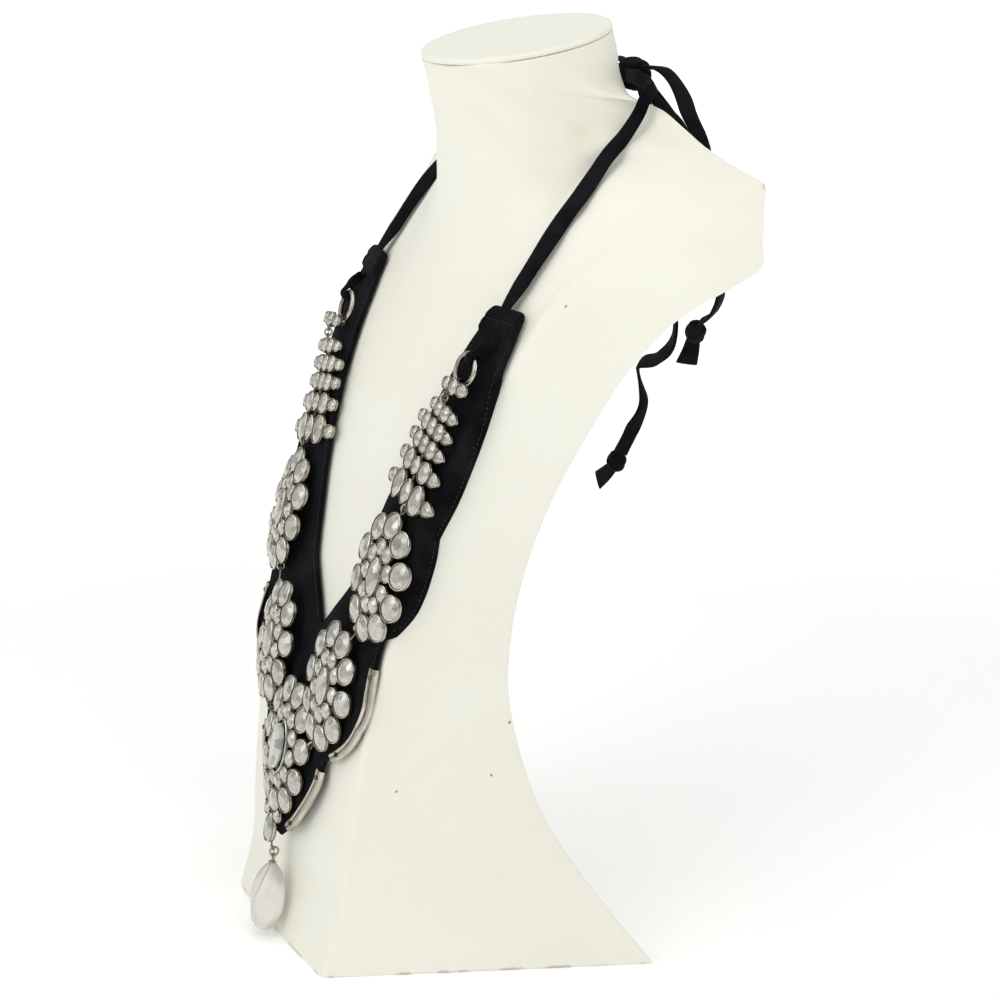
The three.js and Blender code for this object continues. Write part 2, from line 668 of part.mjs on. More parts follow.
// Rows of stones that widen downwards, each bowed back towards its two ends.
function rowMotifGeometry() {
  const bow = (u) => 1.2 - 0.0045 * u * u;
  const pieces = [];
  ROWS.forEach((row, level) => {
    for (let i = 0; i < row.count; i += 1) {
      const u = (i - (row.count - 1) / 2) * row.spacing;
      const end = i === 0 || i === row.count - 1;
      const rhombus = level > 2 && u === 0;
      const stone = bezel({
        halfU: end ? row.endU : row.midU,
        halfV: end ? row.endV : row.midV - (rhombus ? 0.8 : 0),
        depth: end ? 2.4 : 2.8,
        sides: rhombus ? 4 : 8,
      });
      pieces.push(stone.rotateY(0.009 * u).translate(row.u + u, row.v, bow(u)));
    }
  });
  const spine = bar(vec(0, ROWS[0].v, 1.9), vec(0, ROWS.at(-1).v, 1.9), 1.6);
  return joined([...pieces, spine]);
}

// Three small stones on a bail that hangs on the big ring.
function stoneLinkGeometry() {
  const middle = bezel({ halfU: 3.7, halfV: 4.3, depth: 2.6, sides: 8 });
  const side = bezel({ halfU: 3.6, halfV: 3.4, depth: 2.4, sides: 8 });
  const bail = wireRing({ radius: BAIL.radius, wire: BAIL.wire }).rotateY(Math.PI / 2);
  return joined([
    middle,
    side.clone().rotateY(-0.1).translate(-6.7, 0.6, -0.3),
    side.clone().rotateY(0.1).translate(6.7, -0.4, -0.3),
    bail.translate(BAIL.u, BAIL.v, -BAIL.depth),
  ]);
}

// ---------------------------------------------------------------- the chain of motifs

// The frame of a motif: its axes u, v and outwards, with its stones' rim at the given point.
function motifFrame({ x, y, z, slopeX, slopeZ, sink, turn }) {
  const across = vec(1, slopeX, 0).normalize();
  const out = vec(slopeX, -1, slopeZ).normalize();
  const up = out.clone().cross(across);
  const frame = new THREE.Matrix4().makeBasis(across, up, out);
  frame.multiply(new THREE.Matrix4().makeRotationZ(turn));
  return frame.setPosition(vec(x, y, z).addScaledVector(out, -sink));
}

const frames = Object.fromEntries(MOTIFS.map((motif) => [motif.name, motifFrame(motif)]));

function anchor(name, u, v) {
  return vec(u, v, EYE_HEIGHT).applyMatrix4(frames[name]);
}

// A jump ring's frame: along the chain, outwards, and across.
function linkFrame(link) {
  const up = anchor(link.above, link.aboveU, link.aboveV)
    .sub(anchor(link.below, link.belowU, link.belowV)).normalize();
  const out = vec(0, 0, 1).transformDirection(frames[link.above])
    .add(vec(0, 0, 1).transformDirection(frames[link.below]));
  const across = vec(0, 0, 0).crossVectors(up, out).normalize();
  out.crossVectors(across, up);
  return new THREE.Matrix4().makeBasis(across, up, out).setPosition(link.x, link.y, link.z);
}

function jumpRingGeometry(link) {
  return wireRing(JUMP_RING).rotateY(Math.PI / 2).applyMatrix4(linkFrame(link));
}

// The flat eye that a jump ring passes through, and the wire from it to its motif.
function eyeGeometries(link, end) {
  const frame = linkFrame(link);
  const side = end === 'above' ? 1 : -1;
  const eye = wireRing(EYE).translate(0, side * JUMP_RING.radius, 0).applyMatrix4(frame);
  const from = vec(0, side * (JUMP_RING.radius + EYE.radius), 0).applyMatrix4(frame);
  return [eye, bar(from, anchor(link[end], link[`${end}U`], link[`${end}V`]), 0.9)];
}

function eyesOf(name) {
  return LINKS.flatMap((link) => ['above', 'below']
    .filter((end) => link[end] === name)
    .flatMap((end) => eyeGeometries(link, end)));
}

function onMotif(name, geometry) {
  return joined([geometry.applyMatrix4(frames[name]), ...eyesOf(name)]);
}

function bigRingGeometry() {
  return wireRing({ ...BIG_RING, sides: 6, steps: 18 }).applyMatrix4(frames.big_ring);
}

// The velvet loop: a folded tab that holds the big ring's wire, its two ends sewn to the bib.
function velvetLoopGeometry() {
  const across = LOOP.inner + LOOP.thickness / 2;
  const bend = [-1, -0.5, 0, 0.5, 1].map((i) => {
    const angle = i * (Math.PI / 2);
    return { v: -across * Math.cos(angle), height: across * Math.sin(angle) };
  });
  const route = [{ v: LOOP.reach, height: -across - LOOP.dip }, ...bend, { v: LOOP.reach, height: 0 }];
  const loop = ribbon(route.map(({ v, height }, i) => ({
    at: vec(0, v, height),
    facing: i > 0 && i < 6 ? vec(0, v, height) : vec(0, 0, height < -1 ? -1 : 1),
    width: LOOP.width,
  })), LOOP.thickness);
  return loop.rotateZ(LOOP.turn).translate(LOOP.u, LOOP.v, 0).applyMatrix4(frames.big_ring);
}

// ---------------------------------------------------------------- the drop

function dropFrame() {
  return new THREE.Matrix4().makeRotationX(-DROP.lean).setPosition(0, DROP.y, DROP.z);
}

// The pear's eye is soldered to the centre motif and holds the drop's ring.
function pearEyeGeometries() {
  const ringTop = vec(0, DROP.y, DROP.z).add(vec(0, -0.35, 1).setLength(DROP_RING.radius + 0.2));
  const eye = wireRing(PEAR_EYE).rotateX(Math.PI / 2 + 0.34).translate(...ringTop.toArray());
  const top = ringTop.clone().add(vec(0, -0.2, 1).setLength(PEAR_EYE.radius));
  return [eye, bar(top, anchor('centre', 0, PEAR_V - 3), 1.1)];
}

function dropRingGeometry() {
  return wireRing({ ...DROP_RING, steps: 16 }).rotateY(Math.PI / 2).translate(0, DROP.y, DROP.z);
}

// The drop's silver eye, with the peg that runs down to a small cap on the crystal.
function dropEyeGeometry() {
  const centre = DROP_RING.radius + 0.25;
  const under = centre + DROP_EYE.radius;
  const eye = wireRing(DROP_EYE).rotateX(Math.PI / 2).translate(0, 0, -centre);
  const peg = new THREE.CylinderGeometry(0.6, 0.8, 1.2, 8).rotateX(Math.PI / 2);
  const cap = new THREE.CylinderGeometry(1.1, 2, 1, 10).rotateX(Math.PI / 2);
  return joined([
    eye, peg.translate(0, 0, -under - 0.5), cap.translate(0, 0, -DROP.top + 0.5 + GAP),
  ]).applyMatrix4(dropFrame());
}

// A faceted pear of rock crystal: widest below its middle, with a pointed foot.
function crystalGeometry() {
  const rings = CRYSTAL.map(({ down, halfX, halfY, turn }) => Array.from({ length: 8 }, (_, i) => {
    const angle = ((i + turn) / 8) * 2 * Math.PI;
    return vec(halfX * Math.cos(angle), halfY * Math.sin(angle), -DROP.top - down);
  }));
  return skinned(rings.reverse()).applyMatrix4(dropFrame());
}

// ---------------------------------------------------------------- ribbons

// A flat strip with rounded edges through the stations, each with its width and facing.
function ribbon(stations, thickness) {
  const rings = stations.map(({ at, facing, width }, i) => {
    const last = stations[Math.max(i - 1, 0)].at;
    const next = stations[Math.min(i + 1, stations.length - 1)].at;
    const along = next.clone().sub(last).normalize();
    const side = vec(0, 0, 0).crossVectors(facing, along).normalize();
    const out = vec(0, 0, 0).crossVectors(along, side);
    const w = width / 2;
    const t = thickness / 2;
    const section = [
      [w, -t / 2], [w, t / 2], [w - t / 2, t], [t / 2 - w, t],
      [-w, t / 2], [-w, -t / 2], [t / 2 - w, -t], [w - t / 2, -t],
    ];
    return section.map(([across, height]) => at.clone()
      .addScaledVector(side, across).addScaledVector(out, height));
  });
  return skinned(rings);
}

// A ribbon through the rows of a route, smoothed by a curve.
function routeRibbon(rows, steps, thickness = RIBBON_THICKNESS) {
  const curve = new THREE.CatmullRomCurve3(rows.map(({ x, y, z }) => vec(x, y, z)), false, 'centripetal');
  const lengths = curve.getLengths(400);
  const total = lengths.at(-1);
  const rowAt = rows.map((_, i) => lengths[Math.round((400 * i) / (rows.length - 1))] / total);
  const stations = Array.from({ length: steps + 1 }, (_, i) => {
    const share = i / steps;
    let r = 0;
    while (r < rows.length - 2 && share > rowAt[r + 1]) r += 1;
    const t = THREE.MathUtils.clamp((share - rowAt[r]) / (rowAt[r + 1] - rowAt[r]), 0, 1);
    const [a, b] = [rows[r], rows[r + 1]];
    const mix = (name) => THREE.MathUtils.lerp(a[name], b[name], t);
    return {
      at: curve.getPointAt(share),
      facing: vec(mix('faceX'), mix('faceY'), mix('faceZ')).normalize(),
      width: mix('width'),
    };
  });
  return ribbon(stations, thickness);
}

// A knot: a rounded bundle, longer than it is thick.
function knotGeometry({ x, y, z, halfX, halfY, halfZ, turn }) {
  const shape = new THREE.SphereGeometry(1, 12, 8).scale(halfX, halfY, halfZ);
  return shape.rotateY(turn).translate(x, y, z);
}

// ---------------------------------------------------------------- materials and assembly

const ivory = new THREE.MeshStandardMaterial({ color: 0xd8cfb8, roughness: 0.6, metalness: 0 });
const velvet = new THREE.MeshStandardMaterial({ color: 0x14151a, roughness: 0.95, metalness: 0 });
const silver = new THREE.MeshStandardMaterial({ color: 0xa8a296, roughness: 0.38, metalness: 1 });
const crystal = new THREE.MeshStandardMaterial({ color: 0xc9cccb, roughness: 0.08, metalness: 0 });

const necklace = new THREE.Group();
necklace.name = 'choker_on_bust';

function addPiece(name, geometry, material) {
  const mesh = new THREE.Mesh(geometry, material);
  mesh.name = name;
  necklace.add(mesh);
}

function addPair(name, geometry, material) {
  addPiece(`${name}_left`, geometry, material);
  addPiece(`${name}_right`, mirrored(geometry), material);
}

addPiece('neck_bust', bustGeometry(), ivory);
addPiece('neck_cap', neckCapGeometry(), ivory);
addPiece('velvet_bib', bibGeometry(), velvet);

addPair('upper_channel', channelGeometry(110, 163.5), silver);
addPair('lower_channel', channelGeometry(61, 101), silver);

const pearEyes = pearEyeGeometries();
const centre = joined([onMotif('centre', centreMotifGeometry()), ...pearEyes]);
const centreEyes = eyesOf('centre').map((eye) => mirrored(eye));
addPiece('centre_motif', joined([centre, ...centreEyes]), silver);
addPiece('centre_crystal', centreCrystalGeometry().applyMatrix4(frames.centre), crystal);
addPair('lower_rosette', onMotif('lower_rosette', rosetteGeometry(LOWER_START)), silver);
addPair('upper_rosette', onMotif('upper_rosette', rosetteGeometry(UPPER_START)), silver);
addPair('row_motif', onMotif('row_motif', rowMotifGeometry()), silver);
addPair('stone_link', onMotif('stone_link', stoneLinkGeometry()), silver);
addPair('big_ring', bigRingGeometry(), silver);
addPair('velvet_loop', velvetLoopGeometry(), velvet);
for (const link of LINKS) addPair(link.name, jumpRingGeometry(link), silver);

addPiece('drop_ring', dropRingGeometry(), silver);
addPiece('drop_eye', dropEyeGeometry(), silver);
addPiece('crystal_drop', crystalGeometry(), crystal);

addPair('strap', routeRibbon(STRAP, 28), velvet);
addPiece('bow_knot', knotGeometry(BOW_KNOT), velvet);
addPair('bow_loop', routeRibbon(BOW_LOOP, 22), velvet);
addPiece('tail_left', routeRibbon(TAIL_LEFT, 19), velvet);
addPiece('tail_right', routeRibbon(TAIL_RIGHT, 25), velvet);
addPiece('tail_knot_left', joined([knotGeometry(TAIL_KNOT_LEFT), routeRibbon(END_LEFT, 3)]), velvet);
addPiece('tail_knot_right', joined([knotGeometry(TAIL_KNOT_RIGHT), routeRibbon(END_RIGHT, 3)]), velvet);

export default necklace;
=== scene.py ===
# A velvet bib choker with silver and crystal motifs, tied with ribbon round a plain neck bust.
# Sizes are in millimetres and become metres when a mesh is made. +Z is up, the necklace's
# front faces -Y, and the wearer's left is +X.

import json
import math

import bmesh
import bpy
import numpy as np
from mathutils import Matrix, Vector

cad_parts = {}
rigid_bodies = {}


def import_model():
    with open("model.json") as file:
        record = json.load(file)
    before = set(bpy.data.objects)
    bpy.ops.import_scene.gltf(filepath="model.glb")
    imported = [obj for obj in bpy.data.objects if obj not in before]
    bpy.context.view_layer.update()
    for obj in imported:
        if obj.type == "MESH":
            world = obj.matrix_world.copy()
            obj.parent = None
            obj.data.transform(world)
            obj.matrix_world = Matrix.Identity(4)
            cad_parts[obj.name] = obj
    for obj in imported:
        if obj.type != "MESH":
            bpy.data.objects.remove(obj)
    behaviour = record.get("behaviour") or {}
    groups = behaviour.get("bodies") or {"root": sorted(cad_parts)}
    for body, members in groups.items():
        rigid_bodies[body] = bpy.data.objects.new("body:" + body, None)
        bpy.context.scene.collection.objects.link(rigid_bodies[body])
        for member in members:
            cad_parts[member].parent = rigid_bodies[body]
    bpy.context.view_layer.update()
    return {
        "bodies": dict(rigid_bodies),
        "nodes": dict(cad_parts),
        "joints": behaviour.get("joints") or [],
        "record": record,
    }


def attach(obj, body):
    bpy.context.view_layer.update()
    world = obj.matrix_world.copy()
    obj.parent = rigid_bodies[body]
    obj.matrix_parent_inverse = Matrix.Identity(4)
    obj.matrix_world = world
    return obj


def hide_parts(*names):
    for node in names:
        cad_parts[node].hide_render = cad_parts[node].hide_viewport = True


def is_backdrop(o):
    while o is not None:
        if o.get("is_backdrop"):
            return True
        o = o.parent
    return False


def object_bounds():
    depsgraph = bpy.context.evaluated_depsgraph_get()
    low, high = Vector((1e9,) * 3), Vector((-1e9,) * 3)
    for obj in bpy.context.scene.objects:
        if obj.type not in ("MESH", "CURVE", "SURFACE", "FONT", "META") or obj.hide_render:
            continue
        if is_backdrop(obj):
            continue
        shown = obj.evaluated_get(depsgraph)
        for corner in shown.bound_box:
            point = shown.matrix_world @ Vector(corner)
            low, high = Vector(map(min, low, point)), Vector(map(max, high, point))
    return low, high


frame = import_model()


# ---------------------------------------------------------------- camera
# A long lens, a little above the shoulders and well round to the wearer's left: the front is
# seen aslant, and the bow and the loose ends show past the shoulder.

camera_data = bpy.data.cameras.new("camera")
camera_data.sensor_width = 36
camera_data.lens = 88.6
camera_data.shift_y = -0.0195
camera = bpy.data.objects.new("camera", camera_data)
camera.location = (1.0685, -0.4829, 0.6068)
camera.rotation_euler = (math.radians(90 - 17.71), 0, math.radians(63.35))
bpy.context.scene.collection.objects.link(camera)
bpy.context.scene.camera = camera


# ---------------------------------------------------------------- loose ribbon ends
# The two free ends of the velvet ribbon hang from the bow behind the shoulders. Each is a
# flat, limp tube of velvet, knotted once near its end and cut square below the knot.

HELD = "bust_and_necklace"    # the body that everything but the swinging drop belongs to
STEPS_PER_ROW = 40


def smooth_path(rows, count):
    """The curve through the first three columns of rows. Each stretch is a cubic whose end
    slopes weigh the stretches beside it by the square roots of their lengths. Returns count
    points evenly spaced along it, with the other columns read at the same shares."""
    rows = np.asarray(rows, float)
    place = rows[:, :3]
    p = np.vstack([2 * place[0] - place[1], place, 2 * place[-1] - place[-2]])
    gap = np.sqrt(np.linalg.norm(np.diff(p, axis=0), axis=1))[:, None]
    before, here, after = gap[:-2], gap[1:-1], gap[2:]
    a, b, c, d = p[:-3], p[1:-2], p[2:-1], p[3:]
    leave = ((b - a) / before - (c - a) / (before + here) + (c - b) / here) * here
    reach = ((c - b) / here - (d - b) / (here + after) + (d - c) / after) * here
    t = np.linspace(0, 1, STEPS_PER_ROW, endpoint=False)[None, :, None]
    b, c, leave, reach = b[:, None], c[:, None], leave[:, None], reach[:, None]
    fine = (b * (1 + 2 * t) * (1 - t) ** 2 + leave * t * (1 - t) ** 2
            + c * (3 - 2 * t) * t ** 2 + reach * (t - 1) * t ** 2).reshape(-1, 3)
    fine = np.vstack([fine, place[-1]])
    run = np.concatenate([[0], np.cumsum(np.linalg.norm(np.diff(fine, axis=0), axis=1))])
    at = np.linspace(0, run[-1], count)
    row_run = run[::STEPS_PER_ROW]
    path = np.stack([np.interp(at, run, fine[:, i]) for i in range(3)], axis=1)
    rest = [np.interp(at, row_run, rows[:, i]) for i in range(3, rows.shape[1])]
    return path, np.stack(rest, axis=1)


def unit(vectors):
    """Each vector over its own length."""
    return vectors / np.maximum(np.linalg.norm(vectors, axis=-1, keepdims=True), 1e-9)


def strip_rings(path, facing, width, thickness, sides=20, roundness=2.8):
    """Rings of a flat tube along a path. Its section is |across|^n + |height|^n = 1, stretched
    to the width and the thickness at each point, with its flat side looking along facing."""
    along = unit(np.gradient(path, axis=0))
    side = unit(np.cross(facing, along))
    out = np.cross(along, side)
    angle = np.linspace(0, 2 * np.pi, sides, endpoint=False)
    across = np.sign(np.cos(angle)) * np.abs(np.cos(angle)) ** (2 / roundness)
    height = np.sign(np.sin(angle)) * np.abs(np.sin(angle)) ** (2 / roundness)
    width, thickness = np.broadcast_to(width, len(path)), np.broadcast_to(thickness, len(path))
    return (path[:, None] + side[:, None] * (across[None, :] * width[:, None] / 2)[..., None]
            + out[:, None] * (height[None, :] * thickness[:, None] / 2)[..., None])


def tube(rings, closed=True):
    """Points and faces of a surface over rings of points, closed at each end by one face."""
    rows, columns = rings.shape[:2]
    index = np.arange(rows * columns).reshape(rows, columns)
    turn = np.roll(index, -1, axis=1)
    quads = np.stack([index[:-1], turn[:-1], turn[1:], index[1:]], axis=-1).reshape(-1, 4)
    faces = quads.tolist()
    if closed:
        faces += [index[0, ::-1].tolist(), index[-1].tolist()]
    return rings.reshape(-1, 3), faces


def add_piece(name, parts, material, slot, nodes=(), body=HELD, flat=False, weld=0, marks=None,
              sharp=None):
    """One mesh piece from (points, faces) parts in millimetres. It rides on a body, takes the
    material given and stands for the CAD nodes named; slot is not used. marks are numbers that
    its material reads, one for each point or each face. Edges over the sharp angle, in degrees,
    stay crisp."""
    points, faces, start = [], [], 0
    for part_points, part_faces in parts:
        points.append(np.asarray(part_points, float).reshape(-1, 3))
        faces += [[i + start for i in face] for face in part_faces]
        start += len(points[-1])
    mesh = bpy.data.meshes.new(name)
    mesh.from_pydata((np.vstack(points) / 1000).tolist(), [], faces)
    for label, (domain, values) in (marks or {}).items():
        mesh.attributes.new(label, "FLOAT", domain).data.foreach_set("value", values)
    shape = bmesh.new()
    shape.from_mesh(mesh)
    if weld:
        bmesh.ops.remove_doubles(shape, verts=shape.verts, dist=weld / 1000)
    bmesh.ops.recalc_face_normals(shape, faces=shape.faces)
    shape.to_mesh(mesh)
    shape.free()
    mesh.polygons.foreach_set("use_smooth", [not flat] * len(mesh.polygons))
    if sharp:
        mesh.set_sharp_from_angle(angle=math.radians(sharp))
    mesh.materials.append(material)
    piece = bpy.data.objects.new(name, mesh)
    bpy.context.scene.collection.objects.link(piece)
    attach(piece, body)
    if nodes:
        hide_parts(*nodes)
    return piece


def node(tree, kind, inputs=None, **settings):
    """Adds a shader node and fills or wires its inputs, given by name or by number."""
    made = tree.nodes.new(kind)
    for key, value in settings.items():
        setattr(made, key, value)
    for key, value in (inputs or {}).items():
        if isinstance(value, bpy.types.NodeSocket):
            tree.links.new(value, made.inputs[key])
        else:
            made.inputs[key].default_value = value
    return made


def node_group(name, inputs, outputs):
    """An empty shader group with the sockets named; returns it, its inlets and its outlets."""
    group = bpy.data.node_groups.new(name, "ShaderNodeTree")
    for label, kind, value in inputs:
        socket = group.interface.new_socket(label, in_out="INPUT", socket_type=kind)
        if value is not None:
            socket.default_value = value
    for label, kind in outputs:
        group.interface.new_socket(label, in_out="OUTPUT", socket_type=kind)
    return group, node(group, "NodeGroupInput").outputs, node(group, "NodeGroupOutput").inputs


def maths(tree, operation, *values, clamp=False):
    """The result of one Math node on up to three values."""
    return node(tree, "ShaderNodeMath", dict(enumerate(values)), operation=operation,
                use_clamp=clamp).outputs[0]


def blend_colours(tree, factor, a, b):
    """Colour a where the factor is 0, and b where it is 1."""
    mix = node(tree, "ShaderNodeMix", {0: factor, 6: a, 7: b}, data_type="RGBA")
    return mix.outputs[2]


def stretch(tree, value, low, high, to_low=0.0, to_high=1.0):
    """The value moved from the range low..high to the range to_low..to_high, and kept in it."""
    return node(tree, "ShaderNodeMapRange",
                {0: value, 1: low, 2: high, 3: to_low, 4: to_high}).outputs[0]


# Soft irregular patches, for uneven nap, tarnish and soiling. The mask is cloudy noise pushed
# towards 0 and 1 by the contrast.
patches, inlet, outlet = node_group(
    "patches",
    [("Vector", "NodeSocketVector", None), ("Scale", "NodeSocketFloat", 40.0),
     ("Contrast", "NodeSocketFloat", 0.5)],
    [("Mask", "NodeSocketFloat")])
cloud = node(patches, "ShaderNodeTexNoise",
             {"Vector": inlet["Vector"], "Scale": inlet["Scale"], "Detail": 4.0, "Roughness": 0.55})
spread = maths(patches, "SUBTRACT", cloud.outputs["Fac"], 0.5)
gain = maths(patches, "MULTIPLY", inlet["Contrast"], 8.0)
patches.links.new(maths(patches, "MULTIPLY_ADD", spread, gain, 0.5, clamp=True), outlet["Mask"])

# A fine grain, for leatherette, velvet pile and cast metal: rounded cells with noise on them.
grain, inlet, outlet = node_group(
    "grain",
    [("Vector", "NodeSocketVector", None), ("Cells", "NodeSocketFloat", 900.0),
     ("Noise", "NodeSocketFloat", 0.5)],
    [("Height", "NodeSocketFloat")])
cells = node(grain, "ShaderNodeTexVoronoi", {"Vector": inlet["Vector"], "Scale": inlet["Cells"]},
             feature="SMOOTH_F1")
rough = node(grain, "ShaderNodeTexNoise",
             {"Vector": inlet["Vector"], "Scale": inlet["Cells"], "Detail": 3.0})
mixed = node(grain, "ShaderNodeMix", {0: inlet["Noise"], 2: cells.outputs["Distance"],
                                      3: rough.outputs["Fac"]}, data_type="FLOAT")
grain.links.new(mixed.outputs[0], outlet["Height"])


def use_group(tree, group, **inputs):
    """Places a shader group with its inputs filled or wired, and returns its output."""
    return node(tree, "ShaderNodeGroup", inputs, node_tree=group).outputs[0]


def new_material(name, colour):
    """A material with a Principled shader; returns it, its tree, the shader and the object's
    own coordinates."""
    material = bpy.data.materials.new(name)
    material.use_nodes = True
    material.diffuse_color = (*colour, 1)
    tree = material.node_tree
    shader = tree.nodes["Principled BSDF"]
    coordinates = node(tree, "ShaderNodeTexCoord").outputs["Object"]
    return material, tree, shader, coordinates


def add_bump(tree, shader, height, strength, distance):
    """Turns a height into small dents and rises of the shader's normal."""
    bump = node(tree, "ShaderNodeBump",
                {"Height": height, "Strength": strength, "Distance": distance})
    tree.links.new(bump.outputs[0], shader.inputs["Normal"])


# Near-black velvet with a cold bloom on its pile, nap brushed unevenly, and a little pale lint.
velvet, tree, shader, place = new_material("black_velvet", (0.02, 0.021, 0.025))
nap = use_group(tree, patches, Vector=place, Scale=55.0, Contrast=0.5)
lint_cells = node(tree, "ShaderNodeTexVoronoi", {"Vector": place, "Scale": 150.0})
lint = stretch(tree, lint_cells.outputs["Distance"], 0.035, 0.02)
rare = stretch(tree, use_group(tree, patches, Vector=place, Scale=25.0, Contrast=1.0), 0.6, 1.0)
specks = maths(tree, "MULTIPLY", lint, rare)
pile = blend_colours(tree, nap, (0.003, 0.0032, 0.0037, 1), (0.0095, 0.0098, 0.011, 1))
linted = blend_colours(tree, specks, pile, (0.12, 0.12, 0.12, 1))
tree.links.new(linted, shader.inputs["Base Color"])
tufts = use_group(tree, grain, Vector=place, Cells=2600.0, Noise=0.6)
add_bump(tree, shader, tufts, 0.5, 0.0003)
tree.links.new(stretch(tree, nap, 0, 1, 0.85, 0.97), shader.inputs["Roughness"])
shader.inputs["Specular IOR Level"].default_value = 0.05
shader.inputs["Sheen Weight"].default_value = 0.045
shader.inputs["Sheen Roughness"].default_value = 0.4
shader.inputs["Sheen Tint"].default_value = (0.8, 0.86, 1.0, 1)

RIBBON_THICKNESS = 1.8
TAIL_LEFT = [  # x, y, z, width, then the way its face looks
    [6.1, 134, 422.3, 6, 0.6, 0.8, 0.3], [28, 138.5, 406, 9, 0.6, 0.7, 0.4],
    [45, 137, 388, 9.5, 0.7, 0.7, 0.3], [66, 134, 360, 10, 0.7, 0.7, 0.2],
    [81, 132, 333, 10, 0.8, 0.6, -0.2], [76, 131, 321, 9, 0.5, 0.5, -0.8],
    [64.3, 131, 313.7, 6, 0.3, 0.8, -0.6]]
TAIL_RIGHT = [
    [-5, 134.6, 420.5, 6, -0.3, 1, 0.2], [4, 137, 400, 9, 0.1, 1, 0.1],
    [24, 135, 350, 9, 0.3, 1, 0], [38, 132, 300, 9, 0.4, 0.9, 0],
    [24, 131, 286, 8, 0.2, 1, -0.3], [4, 131, 277, 8, 0.5, 0.7, -0.5],
    [12, 130, 260, 6.5, 0.9, 0.4, 0.2], [4, 128.5, 244, 8.5, 0.9, -0.1, 0.4],
    [-6.6, 127.4, 228, 7.5, 0.8, -0.3, 0.5]]
END_LEFT = [[58, 131, 304, 7, 0.9, -0.3, 0.1], [55.5, 131, 297, 9, 0.9, -0.3, 0.1],
            [52, 131, 290, 11, 0.9, -0.3, 0.1]]
END_RIGHT = [[-13, 127, 219, 7, 0.3, -0.85, 0.3], [-20, 126.5, 213, 9, 0.3, -0.85, 0.3],
             [-28, 126, 207, 10.5, 0.3, -0.85, 0.3]]
KNOT_NECK_WIDTH = 5.6
STOPPER_HALF = (5.2, 4.8, 6)
STOPPER_LEFT = (60, 131, 308)
STOPPER_RIGHT = (-10, 127, 222.5)


def ribbon_part(rows, count, wave=0.0, sides=20):
    """A ribbon along its route, its face rippled by a slow sine along its length."""
    path, rest = smooth_path(rows, count)
    run = np.linspace(0, 1, count)
    width = rest[:, 0] * (1 + wave * 0.12 * np.sin(31 * run) * np.sin(9 * run))
    thickness = RIBBON_THICKNESS * (1 + wave * 0.25 * np.sin(23 * run + 1))
    return path, tube(strip_rings(path, unit(rest[:, 1:4]), width, thickness, sides))


def wrapped_knot(centre, half, turn, wraps=3, rows=40, columns=56):
    """A tight knot: an ellipsoid whose surface rises in rounded bands that run round it on a
    slant, one for each wrap, with a shallow crease between them."""
    v, u = np.meshgrid(np.linspace(0, np.pi, rows), np.linspace(0, 2 * np.pi, columns, False),
                       indexing="ij")
    slant = v * wraps / np.pi + 0.35 * np.sin(u + turn) + 0.15 * np.sin(2 * u)
    band = np.abs(np.sin(np.pi * slant)) ** 0.5
    radius = 0.86 + 0.14 * band * np.sin(v) ** 0.5
    ball = np.stack([np.sin(v) * np.cos(u), np.sin(v) * np.sin(u), np.cos(v)], axis=-1)
    ball = np.sign(ball) * np.abs(ball) ** 0.8
    ball *= radius[..., None] * np.asarray(half)
    c, s = math.cos(turn), math.sin(turn)
    ball = ball @ np.array([[c, 0, -s], [0, 1, 0], [s, 0, c]])
    return tube(ball + np.asarray(centre))


def loose_end(name, rows, end_rows, stopper_centre, turn):
    """A hanging ribbon, with its stopper knot and cut end as one piece that goes with it. The
    cord's diameter is the flat ribbon's width."""
    path, part = ribbon_part(rows, 150, wave=1.0)
    ribbon = add_piece("ribbon_" + name, [part], velvet, "velvet", [name])
    knot = wrapped_knot(stopper_centre, STOPPER_HALF, turn)
    cut_end = ribbon_part(end_rows, 30)[1]
    # A short stretch of ribbon leads from just inside the hanging one's end into the knot.
    way_in = np.asarray(stopper_centre) - path[-2]
    neck_rows = [[*(path[-2] + share * way_in), KNOT_NECK_WIDTH, *rows[-1][4:]]
                 for share in (0, 0.5, 1)]
    knot_node = name.replace("tail", "tail_knot")
    stopper = add_piece("ribbon_" + knot_node, [knot, cut_end, ribbon_part(neck_rows, 12)[1]],
                        velvet, "velvet", [knot_node])


loose_end("tail_left", TAIL_LEFT, END_LEFT, STOPPER_LEFT, 0.5)
loose_end("tail_right", TAIL_RIGHT, END_RIGHT, STOPPER_RIGHT, 0.5)


# ---------------------------------------------------------------- neck bust
# The display is a light core covered in ivory leatherette, cut off square below the chin and
# flat at the back, and spread out at the foot. The cover is pulled into folds below the neck.

